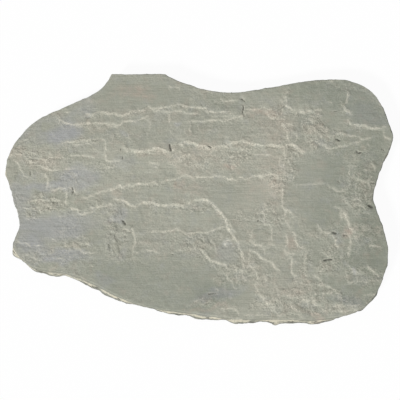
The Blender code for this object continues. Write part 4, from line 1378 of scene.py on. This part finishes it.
def stone_material(colours):
    """Sandstone: mottled grey-green plates, cream or straw where freshly broken and as painted
    highlight where faces look toward the key light, and soil and painted shade in cracks, chips,
    shaded ledges and along the foot. The sawn underside stays plain."""
    material = bpy.data.materials.new("riven_sandstone")
    material.use_nodes = True
    tree = material.node_tree
    sheet = StoneSheet(tree, colours)
    fresh = sheet.mix(sheet.ramp(sheet.edge, 0.0, 0.1), sheet.paint("cream"), sheet.paint("straw"))
    colour = sheet.mix(sheet.cream_share(), sheet.plate_colour(), fresh)
    tone = sheet.tone()
    grey = sheet.add("ShaderNodeCombineColor", {0: tone, 1: tone, 2: tone}).outputs[0]
    colour = sheet.mix(1.0, colour, grey, "MULTIPLY")
    # Soil and painted shade: the shade colour laid where that mask and the chips are strong
    soil_and_shade_share = sheet.ramp(sheet.math("ADD", sheet.soil_and_shade, sheet.chips), 0.45, 0.85, 0.0, 0.88)
    colour = sheet.mix(sheet.times(soil_and_shade_share, sheet.not_sawn), colour, sheet.paint("shade"))
    bump = sheet.add("ShaderNodeBump", {"Strength": 1.0, "Distance": MM, "Height": sheet.relief()})
    shader = tree.nodes["Principled BSDF"]
    tree.links.new(colour, shader.inputs["Base Color"])
    tree.links.new(sheet.ramp(sheet.mottle, 0.3, 0.7, 0.84, 0.96), shader.inputs["Roughness"])
    tree.links.new(bump.outputs["Normal"], shader.inputs["Normal"])
    shader.inputs["Specular IOR Level"].default_value = 0.3
    return material


def add_floor(scene, stage):
    """A round white floor: points at even angles about its middle. It is nearly as white to the
    camera as the background, so that only the stone's shadow shows on it."""
    angle = np.linspace(0, 2 * math.pi, FLOOR_SIDES, endpoint=False)
    points = np.column_stack([
        stage.floor_radius * np.cos(angle), stage.floor_radius * np.sin(angle),
        np.full(FLOOR_SIDES, CAD_LOW[2])])
    mesh = bpy.data.meshes.new("floor")
    mesh.from_pydata(points, [], [list(range(FLOOR_SIDES))])
    material = bpy.data.materials.new("white_floor")
    material.use_nodes = True
    material.node_tree.nodes.clear()
    sheet = NodeSheet(material.node_tree)
    lit = sheet.add("ShaderNodeBsdfDiffuse", {"Color": (0.9, 0.9, 0.9, 1.0)}).outputs[0]
    glow = sheet.add("ShaderNodeEmission", {"Color": WHITE}).outputs[0]
    seen = sheet.add("ShaderNodeLightPath").outputs["Is Camera Ray"]
    both = sheet.add("ShaderNodeMixShader", {0: sheet.times(seen, 0.95), 1: lit, 2: glow})
    sheet.add("ShaderNodeOutputMaterial", {"Surface": both.outputs[0]})
    mesh.materials.append(material)
    floor = bpy.data.objects.new("floor", mesh)
    scene.collection.objects.link(floor)


def add_light(scene, stage):
    """White sky and a soft key light that together light a level white surface to white."""
    world = bpy.data.worlds.new("sky")
    world.use_nodes = True
    sheet = NodeSheet(world.node_tree)
    back = world.node_tree.nodes["Background"]
    back.inputs["Color"].default_value = WHITE
    rays = sheet.add("ShaderNodeLightPath")
    seen = sheet.math("MAXIMUM", rays.outputs["Is Camera Ray"], rays.outputs["Is Glossy Ray"])
    seen = sheet.math("MAXIMUM", seen, rays.outputs["Is Transmission Ray"])
    strength = sheet.ramp(seen, 0.0, 1.0, 1.0 - stage.key_share, 1.0)
    world.node_tree.links.new(strength, back.inputs["Strength"])
    scene.world = world
    lamp = bpy.data.lights.new("key", "SUN")
    lamp.angle = stage.key_softness
    lamp.energy = stage.key_share * math.pi / math.sin(stage.key_elevation)
    key = bpy.data.objects.new("key", lamp)
    direction = Vector((
        math.cos(stage.key_azimuth) * math.cos(stage.key_elevation),
        math.sin(stage.key_azimuth) * math.cos(stage.key_elevation),
        math.sin(stage.key_elevation)))
    key.location = 2.0 * direction
    key.rotation_euler = direction.to_track_quat("Z", "Y").to_euler()
    scene.collection.objects.link(key)


def add_camera(scene, stage):
    """Camera on the stone's south side, looking down at it."""
    back = Vector((0.0, -math.cos(stage.camera_elevation), math.sin(stage.camera_elevation)))
    data = bpy.data.cameras.new("camera")
    data.lens = stage.lens
    data.sensor_width = SENSOR_WIDTH
    camera = bpy.data.objects.new("camera", data)
    camera.location = Vector(stage.camera_aim) + stage.camera_distance * back
    camera.rotation_euler = back.to_track_quat("Z", "Y").to_euler()
    scene.collection.objects.link(camera)
    scene.camera = camera


class PAVER_OT_stone(bpy.types.Operator):
    """Build the riven stone in place of its plain solid"""

    bl_idname = "paver.stone"
    bl_label = "Riven Stone"

    def execute(self, context):
        mesh = stone_mesh(context.scene.paver_shape)
        mesh.materials.append(stone_material(context.scene.paver_colours))
        stone = bpy.data.objects.new("riven_stone", mesh)
        context.scene.collection.objects.link(stone)
        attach(stone, "root")
        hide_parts(NODE)
        return {"FINISHED"}


class PAVER_OT_stage(bpy.types.Operator):
    """Add the white floor, the light and the camera"""

    bl_idname = "paver.stage"
    bl_label = "Stage"

    def execute(self, context):
        stage = context.scene.paver_stage
        add_floor(context.scene, stage)
        add_light(context.scene, stage)
        add_camera(context.scene, stage)
        return {"FINISHED"}


class PAVER_PT_sidebar(bpy.types.Panel):
    """Sizes, colours and stage of the paver"""

    bl_label = "Riven Sandstone Paver"
    bl_space_type = "VIEW_3D"
    bl_region_type = "UI"
    bl_category = "Paver"

    def draw(self, context):
        scene = context.scene
        for group in (scene.paver_shape, scene.paver_colours, scene.paver_stage):
            box = self.layout.box()
            for name in group.__annotations__:
                box.prop(group, name)
        self.layout.operator(PAVER_OT_stone.bl_idname)
        self.layout.operator(PAVER_OT_stage.bl_idname)


CLASSES = (PaverShape, PaverColours, PaverStage, PAVER_OT_stone, PAVER_OT_stage, PAVER_PT_sidebar)
GROUPS = {"paver_shape": PaverShape, "paver_colours": PaverColours, "paver_stage": PaverStage}


def register():
    for cls in CLASSES:
        bpy.utils.register_class(cls)
    for name, group in GROUPS.items():
        setattr(bpy.types.Scene, name, PointerProperty(type=group))


def unregister():
    for name in GROUPS:
        delattr(bpy.types.Scene, name)
    for cls in reversed(CLASSES):
        bpy.utils.unregister_class(cls)


def main():
    """Registers the add-on, and builds the stone and its stage."""
    register()
    bpy.context.scene.view_settings.view_transform = "Standard"
    bpy.ops.paver.stone()
    bpy.ops.paver.stage()


if __name__ == "__main__":
    main()
